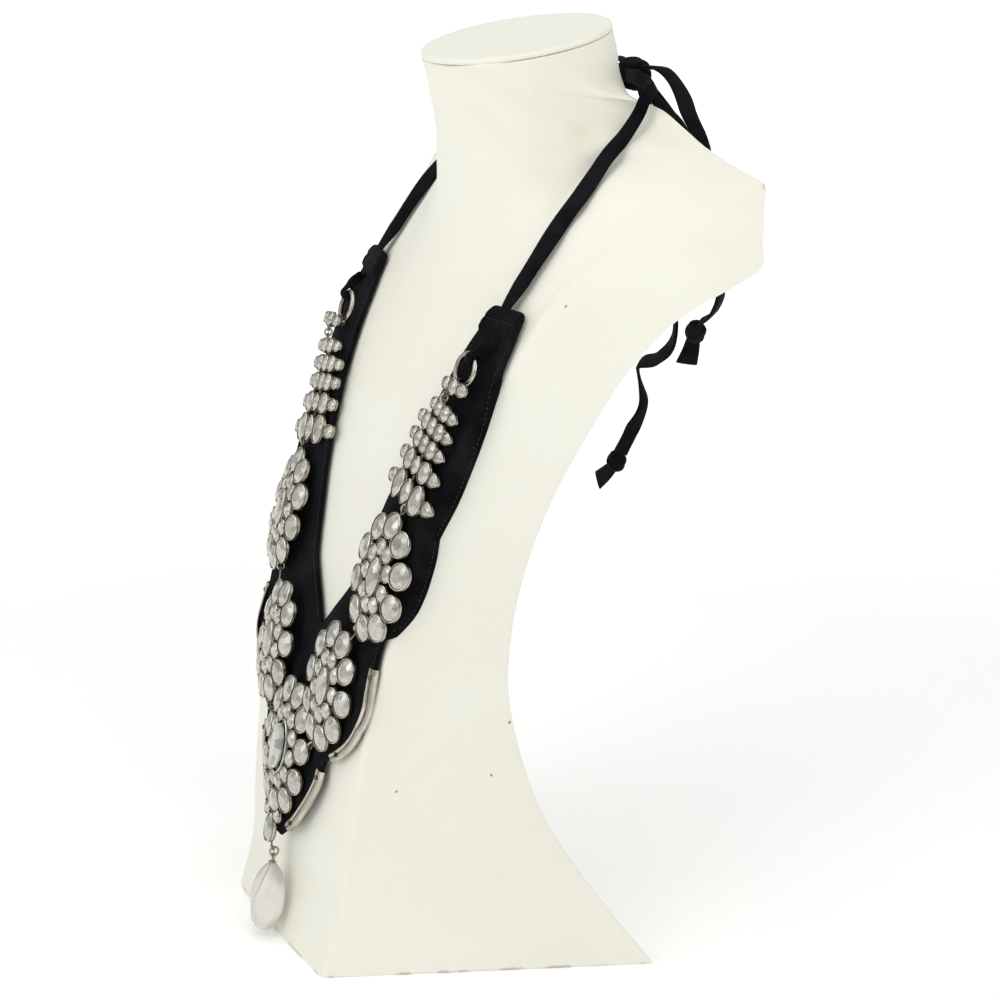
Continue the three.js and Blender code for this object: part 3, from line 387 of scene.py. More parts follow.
# Height, depth of the front's middle, the crease's x and y, then the back edge's x and y.
BODY = np.array([
    [0, -76, 56.5, -74.5, 118, 81], [30, -67.5, 59, -65, 105, 61],
    [55, -65.5, 61, -62.5, 92.5, 46], [77, -63, 62.5, -60, 85, 35.5],
    [101, -59.5, 65, -56.5, 80, 28], [124, -55, 66.5, -53.5, 77, 23],
    [153, -46.5, 69, -47, 76.5, 20], [165, -43, 70, -44, 77.5, 20.5],
    [180, -39, 71.5, -40, 79, 21.5], [210, -31, 74.5, -30.5, 83, 27],
    [242, -22, 78, -19, 90, 36], [280, -8.5, 84, -2, 102, 51],
    [313, 6.5, 91, 16, 117, 65], [338, 20, 101, 36, 134, 81],
    [354, 30, 109, 53, 151, 98], [360, 34, 112, 60, 156.5, 104.5],
    [375, 47, 121, 76, 160, 105], [387, 65, 131, 91, 160, 105],
    [396, 85, 146, 101, 160, 105], [400, 95, 152, 105, 157, 106],
    [403.5, 98, 124, 106, 130, 107], [407.5, 99.5, 101, 106, 107, 107],
    [413, 101, 82, 106, 88, 107], [419, 102.5, 64, 106, 69, 107],
    [425, 104.5, 47, 106, 50, 107], [431, 105.5, 42, 106.5, 44, 107]])
NECK = np.array([  # height, the column's centre in y, its half widths in x and y
    [330, 65, 62, 44], [375, 71, 55, 45], [400, 72, 49.5, 48],
    [420, 69.7, 46, 49.3], [435, 65, 44.5, 48.5], [450, 61.6, 45, 46.3]])
NECK_TOP = 446.8
NECK_TILT = math.tan(math.radians(9))
TILT_START = 428    # the neck's top slopes to the front above this height
NECK_BLEND = 22
CREASE_RADIUS = 3
NAPE_START, NAPE_END = 366, 420    # the nape rises from the flat back between these heights
BARE_NECK = 380     # above this height a ring's points turn to the even spacing of an ellipse
SHOULDER = 396


def height_curve(heights, values, steady_from=1e9):
    """A function of height: cubics through the rows of a table. Each row's slope is the mean of
    the slopes above and below it, weighed towards the nearer row; from steady_from up it is
    their harmonic mean, or 0 where they differ in sign, which never overshoots."""
    z, v = np.asarray(heights, float), np.asarray(values, float)
    span = np.diff(z)
    slope = np.diff(v) / span
    below, above = slope[:-1], slope[1:]
    inner = (below * span[1:] + above * span[:-1]) / (span[:-1] + span[1:])
    same = below * above > 0
    steady = np.where(same, 2 * below * above / np.where(same, below + above, 1), 0)
    inner = np.where(z[1:-1] >= steady_from, steady, inner)
    tangent = np.concatenate([slope[:1], inner, slope[-1:]])

    def read(height):
        h = np.clip(height, z[0], z[-1])
        i = np.clip(np.searchsorted(z, h, side="right") - 1, 0, len(span) - 1)
        t = (h - z[i]) / span[i]
        return (v[i] * (1 + 2 * t) * (1 - t) ** 2 + span[i] * tangent[i] * t * (1 - t) ** 2
                + v[i + 1] * (3 - 2 * t) * t ** 2 + span[i] * tangent[i + 1] * (t - 1) * t ** 2)
    return read


middle_y, crease_x, crease_y, edge_x, edge_y = [
    height_curve(BODY[:, 0], BODY[:, i], SHOULDER) for i in range(1, 6)]
column_y, column_half_x, column_half_y = [
    height_curve(NECK[:, 0], NECK[:, i]) for i in range(1, 4)]


def soft_min(a, b, width):
    """The smaller of a and b, with a parabola of the given width where they cross."""
    mix = np.clip(0.5 + 0.5 * (b - a) / width, 0, 1)
    return b * (1 - mix) + a * mix - width * mix * (1 - mix)


def smooth_step(value, low, high):
    """0 up to low, 1 from high on, and the cubic 3t^2 - 2t^3 between them."""
    t = np.clip((value - low) / (high - low), 0, 1)
    return t * t * (3 - 2 * t)


def column_depth(x, z):
    """Half the neck's depth over x: the upright of its ellipse, and steeply negative outside."""
    inside = 1 - (x / column_half_x(z)) ** 2
    return np.where(inside > 0, column_half_y(z) * np.sqrt(np.maximum(inside, 0)), 400 * inside)


def front_y(x, z):
    """Depth of the front skin: a shallow parabola to the crease, a plane from the crease to
    the back edge, the further back of the two, and the neck's ellipse blended in."""
    side = np.abs(x)
    slope = (edge_y(z) - crease_y(z)) / (edge_x(z) - crease_x(z))
    front = middle_y(z) + (crease_y(z) - middle_y(z)) * (side / crease_x(z)) ** 2
    wing = crease_y(z) + slope * (side - crease_x(z))
    chest = -soft_min(-front, -wing, CREASE_RADIUS)
    return soft_min(chest, column_y(z) - column_depth(x, z), NECK_BLEND)


def bust_ring(z, upper=False, fillet=1.8):
    """One half of a level ring round the bust, from the front's middle to the back's. Each
    point is the mean of the outline within the fillet's reach, which rounds the crease and
    the back edge. upper takes the neck's ellipse in place of the flat back."""
    bare = smooth_step(z, BARE_NECK, NAPE_END)
    half = column_half_x(z) if upper else max(edge_x(z), column_half_x(z))
    side, corner = 0.93 * column_half_x(z), min(crease_x(z), 0.96 * half)
    side = min(side, 0.62 * corner) if z < 400 else side
    u = np.linspace(0, 1, 400)
    level = np.interp(u, [0, 0.77, 1], [0, min(corner, 0.85 * half), half])
    x = level * (1 - bare) + half * np.sin(u * np.pi / 2) * bare
    back_x = half * np.sin(np.linspace(1, 0, 200)[1:] * np.pi / 2)
    depth = column_y(z) + np.maximum(column_depth(back_x, z), 0)
    nape = np.maximum(depth - edge_y(z), 0) * smooth_step(z, NAPE_START, NAPE_END)
    back_y = depth if upper else edge_y(z) + nape
    outline = np.vstack([np.stack([x, front_y(x, z)], 1), np.stack([back_x, back_y], 1)])
    run = np.concatenate([[0], np.cumsum(np.linalg.norm(np.diff(outline, axis=0), axis=1))])
    side, crease, turn = np.interp([side, corner, half], x, run[:400])
    turn, total = run[399], run[-1]
    margin = min(2.5, 0.3 * (crease - side), 0.3 * (turn - crease))
    stops = [0, side, crease - margin, crease + margin, turn - margin, turn + margin, total]
    counts = [26, 20, 8, 26, 8, 18]
    at = np.concatenate([np.linspace(a, b, n, endpoint=False)
                         for a, b, n in zip(stops, stops[1:], counts)] + [[total]])
    reach = np.minimum(fillet, np.minimum(at, total - at))
    spots = at + reach * np.linspace(-1, 1, 9)[:, None]
    return np.stack([np.interp(spots, run, outline[:, k]).mean(0) for k in range(2)], axis=1)


# Rings stand one step apart, measured up the bust and out along its back edge together.
RING_STEP = 1.9
scan = np.linspace(0, NECK_TOP, 20000)
travel = np.concatenate([[0], np.cumsum(np.abs(np.diff(edge_x(scan))) * (scan[1:] < TILT_START)
                                        + np.diff(scan))])
ring_z = np.interp(np.linspace(0, travel[-1], int(travel[-1] / RING_STEP)), travel, scan)
ring_z = np.concatenate([[0, 0.3, 0.8, 1.4], ring_z[(ring_z > 2) & (ring_z < NECK_TOP - 1)],
                         [NECK_TOP - 0.7, NECK_TOP - 0.15, NECK_TOP]])
half_rings = np.stack([bust_ring(z) for z in ring_z])
upper_rings = np.stack([bust_ring(max(z, 426), upper=True) for z in ring_z])
half_rings += (upper_rings - half_rings) * smooth_step(ring_z, 419, 435)[:, None, None]
middle = np.stack([0 * ring_z, column_y(ring_z)], axis=-1)[:, None]
inset = np.interp(ring_z, [0, 0.3, 0.8, 1.4, NECK_TOP - 0.7, NECK_TOP - 0.15, NECK_TOP],
                  [0.013, 0.005, 0.0012, 0, 0, 0.008, 0.022])
half_rings -= (half_rings - middle) * inset[:, None, None]
rings = np.concatenate([half_rings, half_rings[:, -2:0:-1] * [-1, 1]], axis=1)
tilt = NECK_TILT * (rings[..., 1] - column_y(ring_z)[:, None])
level = ring_z[:, None] + tilt * smooth_step(ring_z, TILT_START, NECK_TOP)[:, None]
bust_skin = np.concatenate([rings, level[..., None]], axis=2)

# Where the cover is stretched from the shoulders to the neck it rounds off: each point there
# moves towards the mean of its four neighbours, again and again.
rise, reach = bust_skin[..., 2], np.abs(bust_skin[..., 0])
pull = smooth_step(rise, 394, 404) * (1 - smooth_step(rise, 434, 441))
pull = (pull * (1 - smooth_step(reach, 85, 112)) * 0.5)[1:-1, :, None]
for _ in range(36):
    beside = np.roll(bust_skin, 1, axis=1) + np.roll(bust_skin, -1, axis=1)
    mean = (beside[1:-1] + bust_skin[:-2] + bust_skin[2:]) / 4
    bust_skin[1:-1] += pull * (mean - bust_skin[1:-1])


def line_distance(points, line):
    """Distance of each point from a chain of straight stretches, and how far along the chain
    its nearest spot lies, from 0 to 1."""
    line = np.asarray(line, float)
    best = np.full(points.shape[:-1], 1e9)
    share = np.zeros(points.shape[:-1])
    run = np.concatenate([[0], np.cumsum(np.linalg.norm(np.diff(line, axis=0), axis=1))])
    for k, (a, b) in enumerate(zip(line, line[1:])):
        t = np.clip(((points - a) @ (b - a)) / ((b - a) @ (b - a)), 0, 1)
        gap = np.linalg.norm(points - a - t[..., None] * (b - a), axis=-1)
        nearer = gap < best
        best = np.where(nearer, gap, best)
        share = np.where(nearer, (run[k] + t * (run[k + 1] - run[k])) / run[-1], share)
    return best, share


FOLDS = [  # depth, width, and the fold's line on the cover; a depth under 0 is a raised crease
    (2.3, 4.5, [(6.8, 16.2, 438.1), (21.7, 22.2, 435.1), (29.7, 29.4, 431.6), (40.0, 48.5, 420.4),
                (45.6, 60.9, 414.0), (49.2, 72.9, 407.2), (52.5, 78.9, 401.8)]),
    (1.5, 4.0, [(43.0, 52.9, 430.0), (47.5, 70.1, 420.8), (51.0, 89.0, 410.8),
                (54.5, 101.3, 404.9)]),
    (1.3, 5.0, [(66, 96, 405), (81.6, 103.0, 402.2), (114.4, 106.6, 401.8)]),
    (2.0, 7.5, [(16.4, 22.2, 425.7), (26.6, 30.8, 410.2), (35.4, 40.1, 395.7), (43.9, 49.1, 387.2),
                (56.0, 55.6, 380.0), (82.6, 61.7, 376.0)]),
    (1.0, 8.0, [(95.2, 74.9, 383.9), (91.7, 56.9, 366.9), (88.6, 43.6, 351.8)]),
    (-0.9, 2.6, [(89.9, 17.1, 314.0), (90.3, 27.9, 330.7), (93.2, 40.7, 346.3), (99.7, 52.6, 357.7),
                 (109.1, 64.8, 367.3), (118.5, 77.8, 377.6), (129.5, 90.2, 386.0),
                 (144.3, 100.5, 394.7)]),
    (1.9, 5.0, [(-14, 17, 434), (-29.7, 29.4, 427), (-42, 52, 414), (-50, 74, 403)]),
    (1.4, 6.0, [(-30, 33, 404), (-44, 49.1, 387.2), (-62, 57, 377), (-88, 64, 375)])]


def grid_normals(grid):
    """Outward directions on a grid of rings: along the ring times up the rings."""
    around = np.roll(grid, -1, axis=1) - np.roll(grid, 1, axis=1)
    return unit(np.cross(around, np.gradient(grid, axis=0)))


sink = np.zeros(bust_skin.shape[:2])
for depth, width, line in FOLDS:
    gap, share = line_distance(bust_skin, line)
    fade = np.sin(np.pi * np.clip(share * 0.96 + 0.02, 0, 1)) ** 0.6
    lip = np.exp(-((gap - 2.1 * width) / (1.2 * width)) ** 2)
    sink += fade * depth * (np.exp(-(gap / width) ** 2) - 0.35 * lip)
bust_skin = bust_skin - sink[..., None] * grid_normals(bust_skin)

# Where a mark lies, the radius at which it has faded out, the share of that radius at which it
# reaches full strength, and its colour. With a share under 0 it stays faint in its middle too.
MARKS = [
    ((46.6, 89.1, 426.2), 8, -1.5, (0.8, 0.75, 0.5)),
    ((48.7, 71.6, 408.6), 10, -1.5, (0.8, 0.75, 0.5)),
    ((99.5, 37.4, 339.4), 1.1, 0.3, (0.25, 0.17, 0.1)),
    ((76.6, 20.2, 127.3), 1, 0.3, (0.16, 0.11, 0.07)),
    ((76.8, 10, 101.2), 0.9, 0.3, (0.2, 0.14, 0.09)),
    ((68.2, -37.3, 98.7), 0.9, 0.3, (0.2, 0.14, 0.09)),
    ((157.5, 106.5, 400.5), 3.5, 0.1, (0.5, 0.38, 0.25))]

# Ivory leatherette: a fine pebbled grain, faint yellow clouding, a few stains and pinholes, and
# brown scuffs where the bottom edge has been knocked.
leatherette, tree, shader, place = new_material("ivory_leatherette", (0.85, 0.81, 0.7))
clouds = use_group(tree, patches, Vector=place, Scale=9.0, Contrast=0.35)
tone = blend_colours(tree, clouds, (0.86, 0.85, 0.745, 1), (0.9, 0.895, 0.8, 1))
height = node(tree, "ShaderNodeSeparateXYZ", {0: place}).outputs[2]
low = stretch(tree, height, 0.0035, 0.0)
chips = use_group(tree, patches, Vector=place, Scale=70.0, Contrast=1.0)
soiled = stretch(tree, maths(tree, "MULTIPLY", low, chips), 0.4, 1.1)
marked = blend_colours(tree, soiled, tone, (0.34, 0.25, 0.16, 1))
for spot, radius, edge, colour in MARKS:
    away = node(tree, "ShaderNodeVectorMath", {0: place, 1: np.array(spot) / 1000},
                operation="DISTANCE").outputs["Value"]
    marked = blend_colours(tree, stretch(tree, away, radius / 1000, radius * edge / 1000), marked,
                           (*colour, 1))
tree.links.new(marked, shader.inputs["Base Color"])
tree.links.new(stretch(tree, clouds, 0, 1, 0.5, 0.62), shader.inputs["Roughness"])
pebbles = use_group(tree, grain, Vector=place, Cells=1300.0, Noise=0.4)
fine_bump = node(tree, "ShaderNodeBump", {"Height": pebbles, "Strength": 0.22, "Distance": 0.0003})
waves = use_group(tree, patches, Vector=place, Scale=28.0, Contrast=0.12)
wide_bump = node(tree, "ShaderNodeBump", {"Height": waves, "Strength": 0.25, "Distance": 0.002,
                                          "Normal": fine_bump.outputs[0]})
tree.links.new(wide_bump.outputs[0], shader.inputs["Normal"])
shader.inputs["Specular IOR Level"].default_value = 0.4

add_piece("bust_cover", [tube(bust_skin)], leatherette, "bust_cover", ["neck_bust"], sharp=60)


# ---------------------------------------------------------------- neck cap
# A flat disc covered in the same leatherette closes the neck. Its cover turns over a rounded
# rim, and a narrow seam shows between it and the neck.

def disc_rings(profile, columns=128):
    """The cap's rings, an ellipse inset and lifted by each row of the profile."""
    angle = np.linspace(0, 2 * np.pi, columns, endpoint=False)
    inset, lift = np.asarray(profile, float).T[:, :, None]
    x = (column_half_x(NECK_TOP) - inset) * np.cos(angle)
    y = (column_half_y(NECK_TOP) - inset) * np.sin(angle)
    return np.stack([x, y + column_y(NECK_TOP), NECK_TOP + lift + NECK_TILT * y], axis=-1)


CAP_PROFILE = [(1.2, 0.35), (0.5, 0.45), (0.1, 0.9), (0, 1.5), (0.05, 2.1), (0.35, 2.7),
               (0.9, 3.05), (1.8, 3.2), (4, 3.12), (12, 3.2), (25, 3.35), (38, 3.4)]
add_piece("cap_cover", [tube(disc_rings(CAP_PROFILE))], leatherette, "bust_cover",
          ["neck_cap"])


# ---------------------------------------------------------------- velvet bib
# A stiff collar of velvet over a firm core, cut in a V with scalloped outer edges. Its edges
# are turned under and stitched all round, and each upper end is hemmed into a thicker cuff.

BIB_TIP, BIB_TOP = 54, 332.5
V_FOOT = 163.5      # where the neckline's two sides meet
HEM = 326.3         # height of the hem's stitches on the cuff
BIB_THICKNESS = 2.4
CUFF_START, CUFF_THICKNESS = 321, 3.8
BIB_LIFT = 1.3
TIP_LIFT, TIP_LIFT_TOP = 3.8, 135
# Height and outer edge of each scallop, measured along the skin from the middle.
SCALLOPS = [
    [[54, 2.5], [61, 11.5], [67, 18], [74, 23.5], [81, 28.5], [88, 32.5], [95, 35.5],
     [101, 36.3], [107, 38]],
    [[107, 38], [110, 44.6], [114, 50.2], [119, 56.2], [126, 62.2], [134, 66], [144, 67.9],
     [154, 68.2], [163.5, 68.2], [170, 68.4], [177, 69]],
    [[177, 69], [180, 71.4], [184, 75], [191, 80], [200, 82.6], [211, 83.6], [221, 83.6],
     [229.5, 82.6]],
    [[229.5, 82.6], [238, 84.8], [246, 86.6], [260, 88.2], [275, 89], [290, 89], [303, 88.6],
     [318, 86.8], [322, 86], [324, 85.6], [332.5, 83.6]]]
NECKLINE = [[163.5, 0], [170, 5.5], [177, 11], [180, 13.7], [184, 17], [191, 22.5], [200, 26],
            [211, 29], [221, 32], [229.5, 34.7], [238, 37.2], [246, 39.8], [260, 44], [275, 48.3],
            [290, 52], [303, 54.7], [318, 58], [322, 59.3], [332.5, 62]]
EDGE_ROUND = 1.1
CUFF_CORNER = 3.2
SEAM_INSET = 2.7

scallop_curves = [height_curve(*np.transpose(rows)) for rows in SCALLOPS]
cusps = [rows[0][0] for rows in SCALLOPS[1:]]
neckline_curve = height_curve(*np.transpose(NECKLINE))


def outer_edge(z):
    """The outer edge at a height: a smooth curve within each scallop, with a cusp between."""
    return np.choose(np.searchsorted(cusps, z), [curve(z) for curve in scallop_curves])


def inner_edge(z):
    """The neckline's distance from the middle, and 0 below its foot."""
    return np.where(z < V_FOOT, 0, neckline_curve(z))


def bib_lift(z):
    """The underside's distance from the skin, which grows towards the tip."""
    return BIB_LIFT + TIP_LIFT * (1 - smooth_step(z, BIB_TIP, TIP_LIFT_TOP))


def skin_point(s, z):
    """The skin's point at distance s from the middle, measured level along the surface."""
    s, z = np.broadcast_arrays(np.asarray(s, float), np.asarray(z, float))
    crease, side = crease_x(z), np.abs(s)
    run, rise = edge_x(z) - crease, edge_y(z) - crease_y(z)
    beyond = crease + (side - crease) * run / np.hypot(run, rise)
    x = np.where(side <= crease, s, np.sign(s) * beyond)
    return np.stack([x, front_y(x, z), z], axis=-1)


def skin_normal(s, z, reach=1.5):
    """The outward direction: across the surface times up it, each over a short reach."""
    across = skin_point(s + reach, z) - skin_point(s - reach, z)
    up = skin_point(s, z + reach) - skin_point(s, z - reach)
    return unit(np.cross(across, up))


def over_bib(s, z, height):
    """A point at the given height over the bib's underside."""
    s, z, height = np.broadcast_arrays(s, z, height)
    return skin_point(s, z) + skin_normal(s, z) * (bib_lift(z) + height)[..., None]


def even_heights(edge, low, high, step):
    """Heights whose points on an edge lie about one step apart along it, in both directions."""
    scan = np.linspace(low, high, 4000)
    run = np.concatenate([[0], np.cumsum(np.hypot(np.diff(scan), np.diff(edge(scan))))])
    return np.interp(np.linspace(0, run[-1], int(run[-1] / step) + 1), run, scan)


bib_z = np.unique(np.concatenate(
    [even_heights(outer_edge, a[0][0], a[-1][0], 1.5) for a in SCALLOPS]
    + [[BIB_TIP + 0.2, BIB_TIP + 0.6, BIB_TOP - 0.15, BIB_TOP - 0.5, BIB_TOP - 1]]))[:, None]
edge_steps = np.array([0, 0.1, 0.3, 0.6, 1.1, 1.7, 2.2, 2.5, 2.7, 2.9, 3.2, 3.8])
outer_s, inner_s = outer_edge(bib_z), inner_edge(bib_z)
past = np.clip(bib_z - BIB_TOP + CUFF_CORNER, 0, CUFF_CORNER)
corner = CUFF_CORNER - np.sqrt(CUFF_CORNER ** 2 - past ** 2)
outer_s, inner_s = outer_s - corner, inner_s + corner
shrink = np.minimum(1, (outer_s - inner_s) / 9.5)
share = np.linspace(0, 1, 36)[None, 1:-1]
from_inner = inner_s + edge_steps * shrink
from_outer = outer_s - edge_steps[::-1] * shrink
across = np.concatenate([from_inner,
                         from_inner[:, -1:] * (1 - share) + from_outer[:, :1] * share,
                         from_outer], axis=1)


def slant(edge, z):
    """How much shorter the way to a slanting edge is than the level way."""
    return 1 / np.hypot(1, (edge(z + 0.4) - edge(z - 0.4)) / 0.8)


to_outer = (outer_s - across) * slant(outer_edge, bib_z)
to_inner = np.where(bib_z < V_FOOT, 99, (across - inner_s) * slant(inner_edge, bib_z))
to_end = np.minimum(BIB_TOP - bib_z, bib_z - BIB_TIP)
free = np.minimum(np.minimum(to_outer, to_inner), to_end)
swell = np.sqrt(1 - (1 - np.clip(free / EDGE_ROUND, 0, 1)) ** 2)
cuff = smooth_step(bib_z, CUFF_START - 0.8, CUFF_START + 0.8)
cuff_up = np.clip((bib_z - CUFF_START) / (BIB_TOP - CUFF_START), 0, 1)
thickness = BIB_THICKNESS + (CUFF_THICKNESS - BIB_THICKNESS + 0.9 * np.sin(np.pi * cuff_up)) * cuff
seam = np.exp(-((np.minimum(to_outer, to_inner) - SEAM_INSET) / 0.45) ** 2)
hem = np.exp(-((bib_z - HEM) / 0.7) ** 2)
crumple = (0.18 * np.sin(across / 9 + bib_z / 14) * np.sin(bib_z / 11 - across / 17)
           + 0.1 * np.sin(across / 4.3 - bib_z / 7.1)) * np.clip((free - 3) / 6, 0, 1)
pleats = (cuff * 0.16 * swell * np.sin(across * 0.8 + 1.5 * np.sin(bib_z / 4))
          * np.sin(across * 0.27 + 1))
tuck = np.exp(-((bib_z - CUFF_START + 0.6) / 0.7) ** 2)
front_height = (thickness / 2 * (1 + swell) - 0.3 * seam - 0.7 * hem * swell + crumple + pleats
                - 0.5 * tuck * swell)
back_height = thickness / 2 * (1 - swell)


def pillow(front, back):
    """Points and faces of two grids of the same size, which meet at their rims when welded."""
    rows, columns = front.shape[:2]
    index = np.arange(rows * columns).reshape(rows, columns)
    quads = np.stack([index[:-1, :-1], index[:-1, 1:], index[1:, 1:], index[1:, :-1]], axis=-1)
    quads = quads.reshape(-1, 4)
    points = np.concatenate([front.reshape(-1, 3), back.reshape(-1, 3)])
    return points, np.concatenate([quads, rows * columns + quads[:, ::-1]]).tolist()


def mirrored(part):
    """The part on the wearer's right: its x turned over and its faces turned round with it."""
    points, faces = part
    return np.asarray(points) * [-1, 1, 1], [face[::-1] for face in faces]


half_bib = pillow(over_bib(across, bib_z, front_height), over_bib(across, bib_z, back_height))
add_piece("bib", [half_bib, mirrored(half_bib)], velvet, "velvet", ["velvet_bib"], weld=0.01)


# ---------------------------------------------------------------- bib stitching
# Rows of fine black thread hold the turned outer edge and the neckline, and one more crosses
# each cuff's hem. Every stitch is a short rounded bead pulled down into its groove.

STITCH_PITCH, STITCH_LENGTH, STITCH_RADIUS = 2.3, 1.7, 0.24


def beads(path, out, length, radius):
    """A small ellipsoid at each point of a path, lying along it: rings of six points whose
    radius follows the half circle."""
    along = unit(np.gradient(path, axis=0))
    side = unit(np.cross(out, along))
    t, angle = np.meshgrid([-1, -0.75, 0, 0.75, 1], np.arange(6) * np.pi / 3, indexing="ij")
    swell = np.sqrt(1.02 - t ** 2)[None, ..., None] * radius
    local = (side[:, None, None] * np.cos(angle)[None, ..., None]
             + out[:, None, None] * np.sin(angle)[None, ..., None]) * swell
    points = path[:, None, None] + along[:, None, None] * t[None, ..., None] * length / 2 + local
    faces = np.array(tube(np.zeros((5, 6, 3)), closed=False)[1])
    faces = (faces[None] + 30 * np.arange(len(path))[:, None, None]).reshape(-1, 4)
    ends = np.arange(6)[::-1][None] + 30 * np.arange(len(path))[:, None]
    tops = np.arange(24, 30)[None] + 30 * np.arange(len(path))[:, None]
    return points.reshape(-1, 3), faces.tolist() + ends.tolist() + tops.tolist()


def seam_beads(edge, low, high, inset_sign):
    """Stitches along an edge of the bib, set in from it by the seam's inset."""
    z = even_heights(edge, low, high, STITCH_PITCH)
    s = edge(z) + inset_sign * SEAM_INSET / slant(edge, z)
    depth = np.where(z > CUFF_START, CUFF_THICKNESS, BIB_THICKNESS) - 0.2
    return beads(over_bib(s, z, depth), skin_normal(s, z), STITCH_LENGTH, STITCH_RADIUS)


thread, tree, shader, place = new_material("black_thread", (0.03, 0.03, 0.035))
shader.inputs["Base Color"].default_value = (0.012, 0.0125, 0.015, 1)
twist = use_group(tree, grain, Vector=place, Cells=4000.0, Noise=0.3)
tree.links.new(stretch(tree, twist, 0, 1, 0.45, 0.75), shader.inputs["Roughness"])
add_bump(tree, shader, twist, 0.4, 0.0001)

seams = [seam_beads(outer_edge, a + 2.2, b - 1.6, -1)
         for a, b in [(58, 107), (109, 177), (179, 229.5), (230, CUFF_START)]]
seams.append(seam_beads(inner_edge, V_FOOT + 3, CUFF_START - 1, 1))
hem_s = np.arange(inner_edge(HEM) + 3, outer_edge(HEM) - 2, STITCH_PITCH)
hem_z = np.full(len(hem_s), HEM)
seams.append(beads(over_bib(hem_s, hem_z, CUFF_THICKNESS + 0.35), skin_normal(hem_s, hem_z),
                   STITCH_LENGTH, STITCH_RADIUS))
add_piece("bib_stitching", seams + [mirrored(part) for part in seams], thread, "velvet")


# ---------------------------------------------------------------- silver edge channels
# Four bent strips of antique silver clip over the lower scallops' edges: an outer wall, and a
# face folded over the velvet. A hollow rivet through each end holds the strip.

CHANNELS = {"upper_channel": (110, 163.5), "lower_channel": (61, 101)}
RIVET_INSET = 4         # from each end of a channel to its rivet
RIVET_ACROSS = -1.1     # from the bib's edge to the rivet, and its seat's height over the underside
RIVET_SEAT = 3.6
# Across from the bib's edge and up from its underside, round the strip's section, then how
# dark the silver is there: patina with painted shade along its edges, in the groove and on its
# hidden inside, and bare bright silver on the faces turned to the light.
CHANNEL_SECTION = [(-3.5, 2.75, 0.9), (-3.54, 3.1, 0.65), (-3.25, 3.42, 0.25), (-2.7, 3.64, 0),
                   (-2.0, 3.7, 0), (-1.5, 3.6, 0.3), (-1.15, 3.36, 0.85), (-0.8, 3.44, 0.6),
                   (-0.2, 3.42, 0.35), (0.4, 3.15, 0.3), (0.95, 2.6, 0.05), (1.27, 1.9, 0),
                   (1.4, 1.1, 0.1), (1.36, 0.45, 0.5), (1.15, 0.05, 0.9), (0.75, 0.05, 1),
                   (0.55, 0.3, 1), (0.5, 1.5, 1), (0.42, 2.2, 1), (0, 2.7, 1), (-1, 2.75, 1)]
RIVET_PROFILE = [(1.3, -0.3), (1.3, 0.2), (1.12, 0.42), (0.9, 0.42), (0.72, 0.2), (0.66, -0.2),
                 (0.2, -0.25)]

# Antique silver: bright where it is rubbed, with cloudy tarnish and a soft uneven polish. A
# number on each point turns it brown-grey: patina in its hollows, together with painted shade
# in grooves, under rims and stones, and on sides turned from the light.
silver, tree, shader, place = new_material("antique_silver", (0.62, 0.59, 0.54))
hollow = node(tree, "ShaderNodeAttribute", attribute_name="hollow").outputs["Fac"]
cloudy = use_group(tree, patches, Vector=place, Scale=120.0, Contrast=0.3)
# Patina and painted shade: the marked points darken, more so in the tarnish's clouds.
patina_and_shade_mask = maths(tree, "MULTIPLY_ADD", hollow, 0.75, maths(tree, "MULTIPLY", hollow, cloudy),
                  clamp=True)
polished = blend_colours(tree, cloudy, (0.47, 0.43, 0.35, 1), (0.7, 0.66, 0.57, 1))
tree.links.new(blend_colours(tree, patina_and_shade_mask, polished, (0.045, 0.038, 0.027, 1)),
               shader.inputs["Base Color"])
tree.links.new(stretch(tree, cloudy, 0, 1, 0.34, 0.2), shader.inputs["Roughness"])
shader.inputs["Metallic"].default_value = 1.0
pits = use_group(tree, grain, Vector=place, Cells=1500.0, Noise=0.7)
add_bump(tree, shader, pits, 0.12, 0.0002)


def edge_frame(z):
    """At heights along the bib's outer edge: the edge's point, the way out across the edge,
    and the way out from the bust."""
    s = outer_edge(z)
    above, below = z + 0.7, z - 0.7
    along = unit(over_bib(outer_edge(above), above, 0) - over_bib(outer_edge(below), below, 0))
    out = skin_normal(s, z)
    across = unit(np.cross(along, out))
    return over_bib(s, z, 0), across, np.cross(across, along)


def lathe(profile, centre, axis, columns=20):
    """Rings of (radius, height) round an axis through a centre, closed at both ends."""
    axis = unit(np.asarray(axis, float))
    helper = np.array([0, 0, 1.0]) if abs(axis[2]) < 0.9 else np.array([1.0, 0, 0])
    u = unit(np.cross(helper, axis))
    v = np.cross(axis, u)
    angle = np.linspace(0, 2 * np.pi, columns, endpoint=False)[None, :, None]
    radius, height = np.asarray(profile, float).T[:, :, None, None]
    circle = u * np.cos(angle) + v * np.sin(angle)
    return tube(np.asarray(centre) + radius * circle + height * axis)


def patina_and_shade_per_point(parts, values):
    """One number for each point of the parts, in their order."""
    return np.concatenate([np.broadcast_to(v, len(p[0])) for p, v in zip(parts, values)])


def both_sides(name, parts, material, slot, nodes, **options):
    """The piece on the wearer's left, and its mirror image on the right."""
    for side, flip in (("left", lambda part: part), ("right", mirrored)):
        add_piece(f"{name}_{side}", [flip(part) for part in parts], material, slot,
                  [f"{node_name}_{side}" for node_name in nodes], **options)


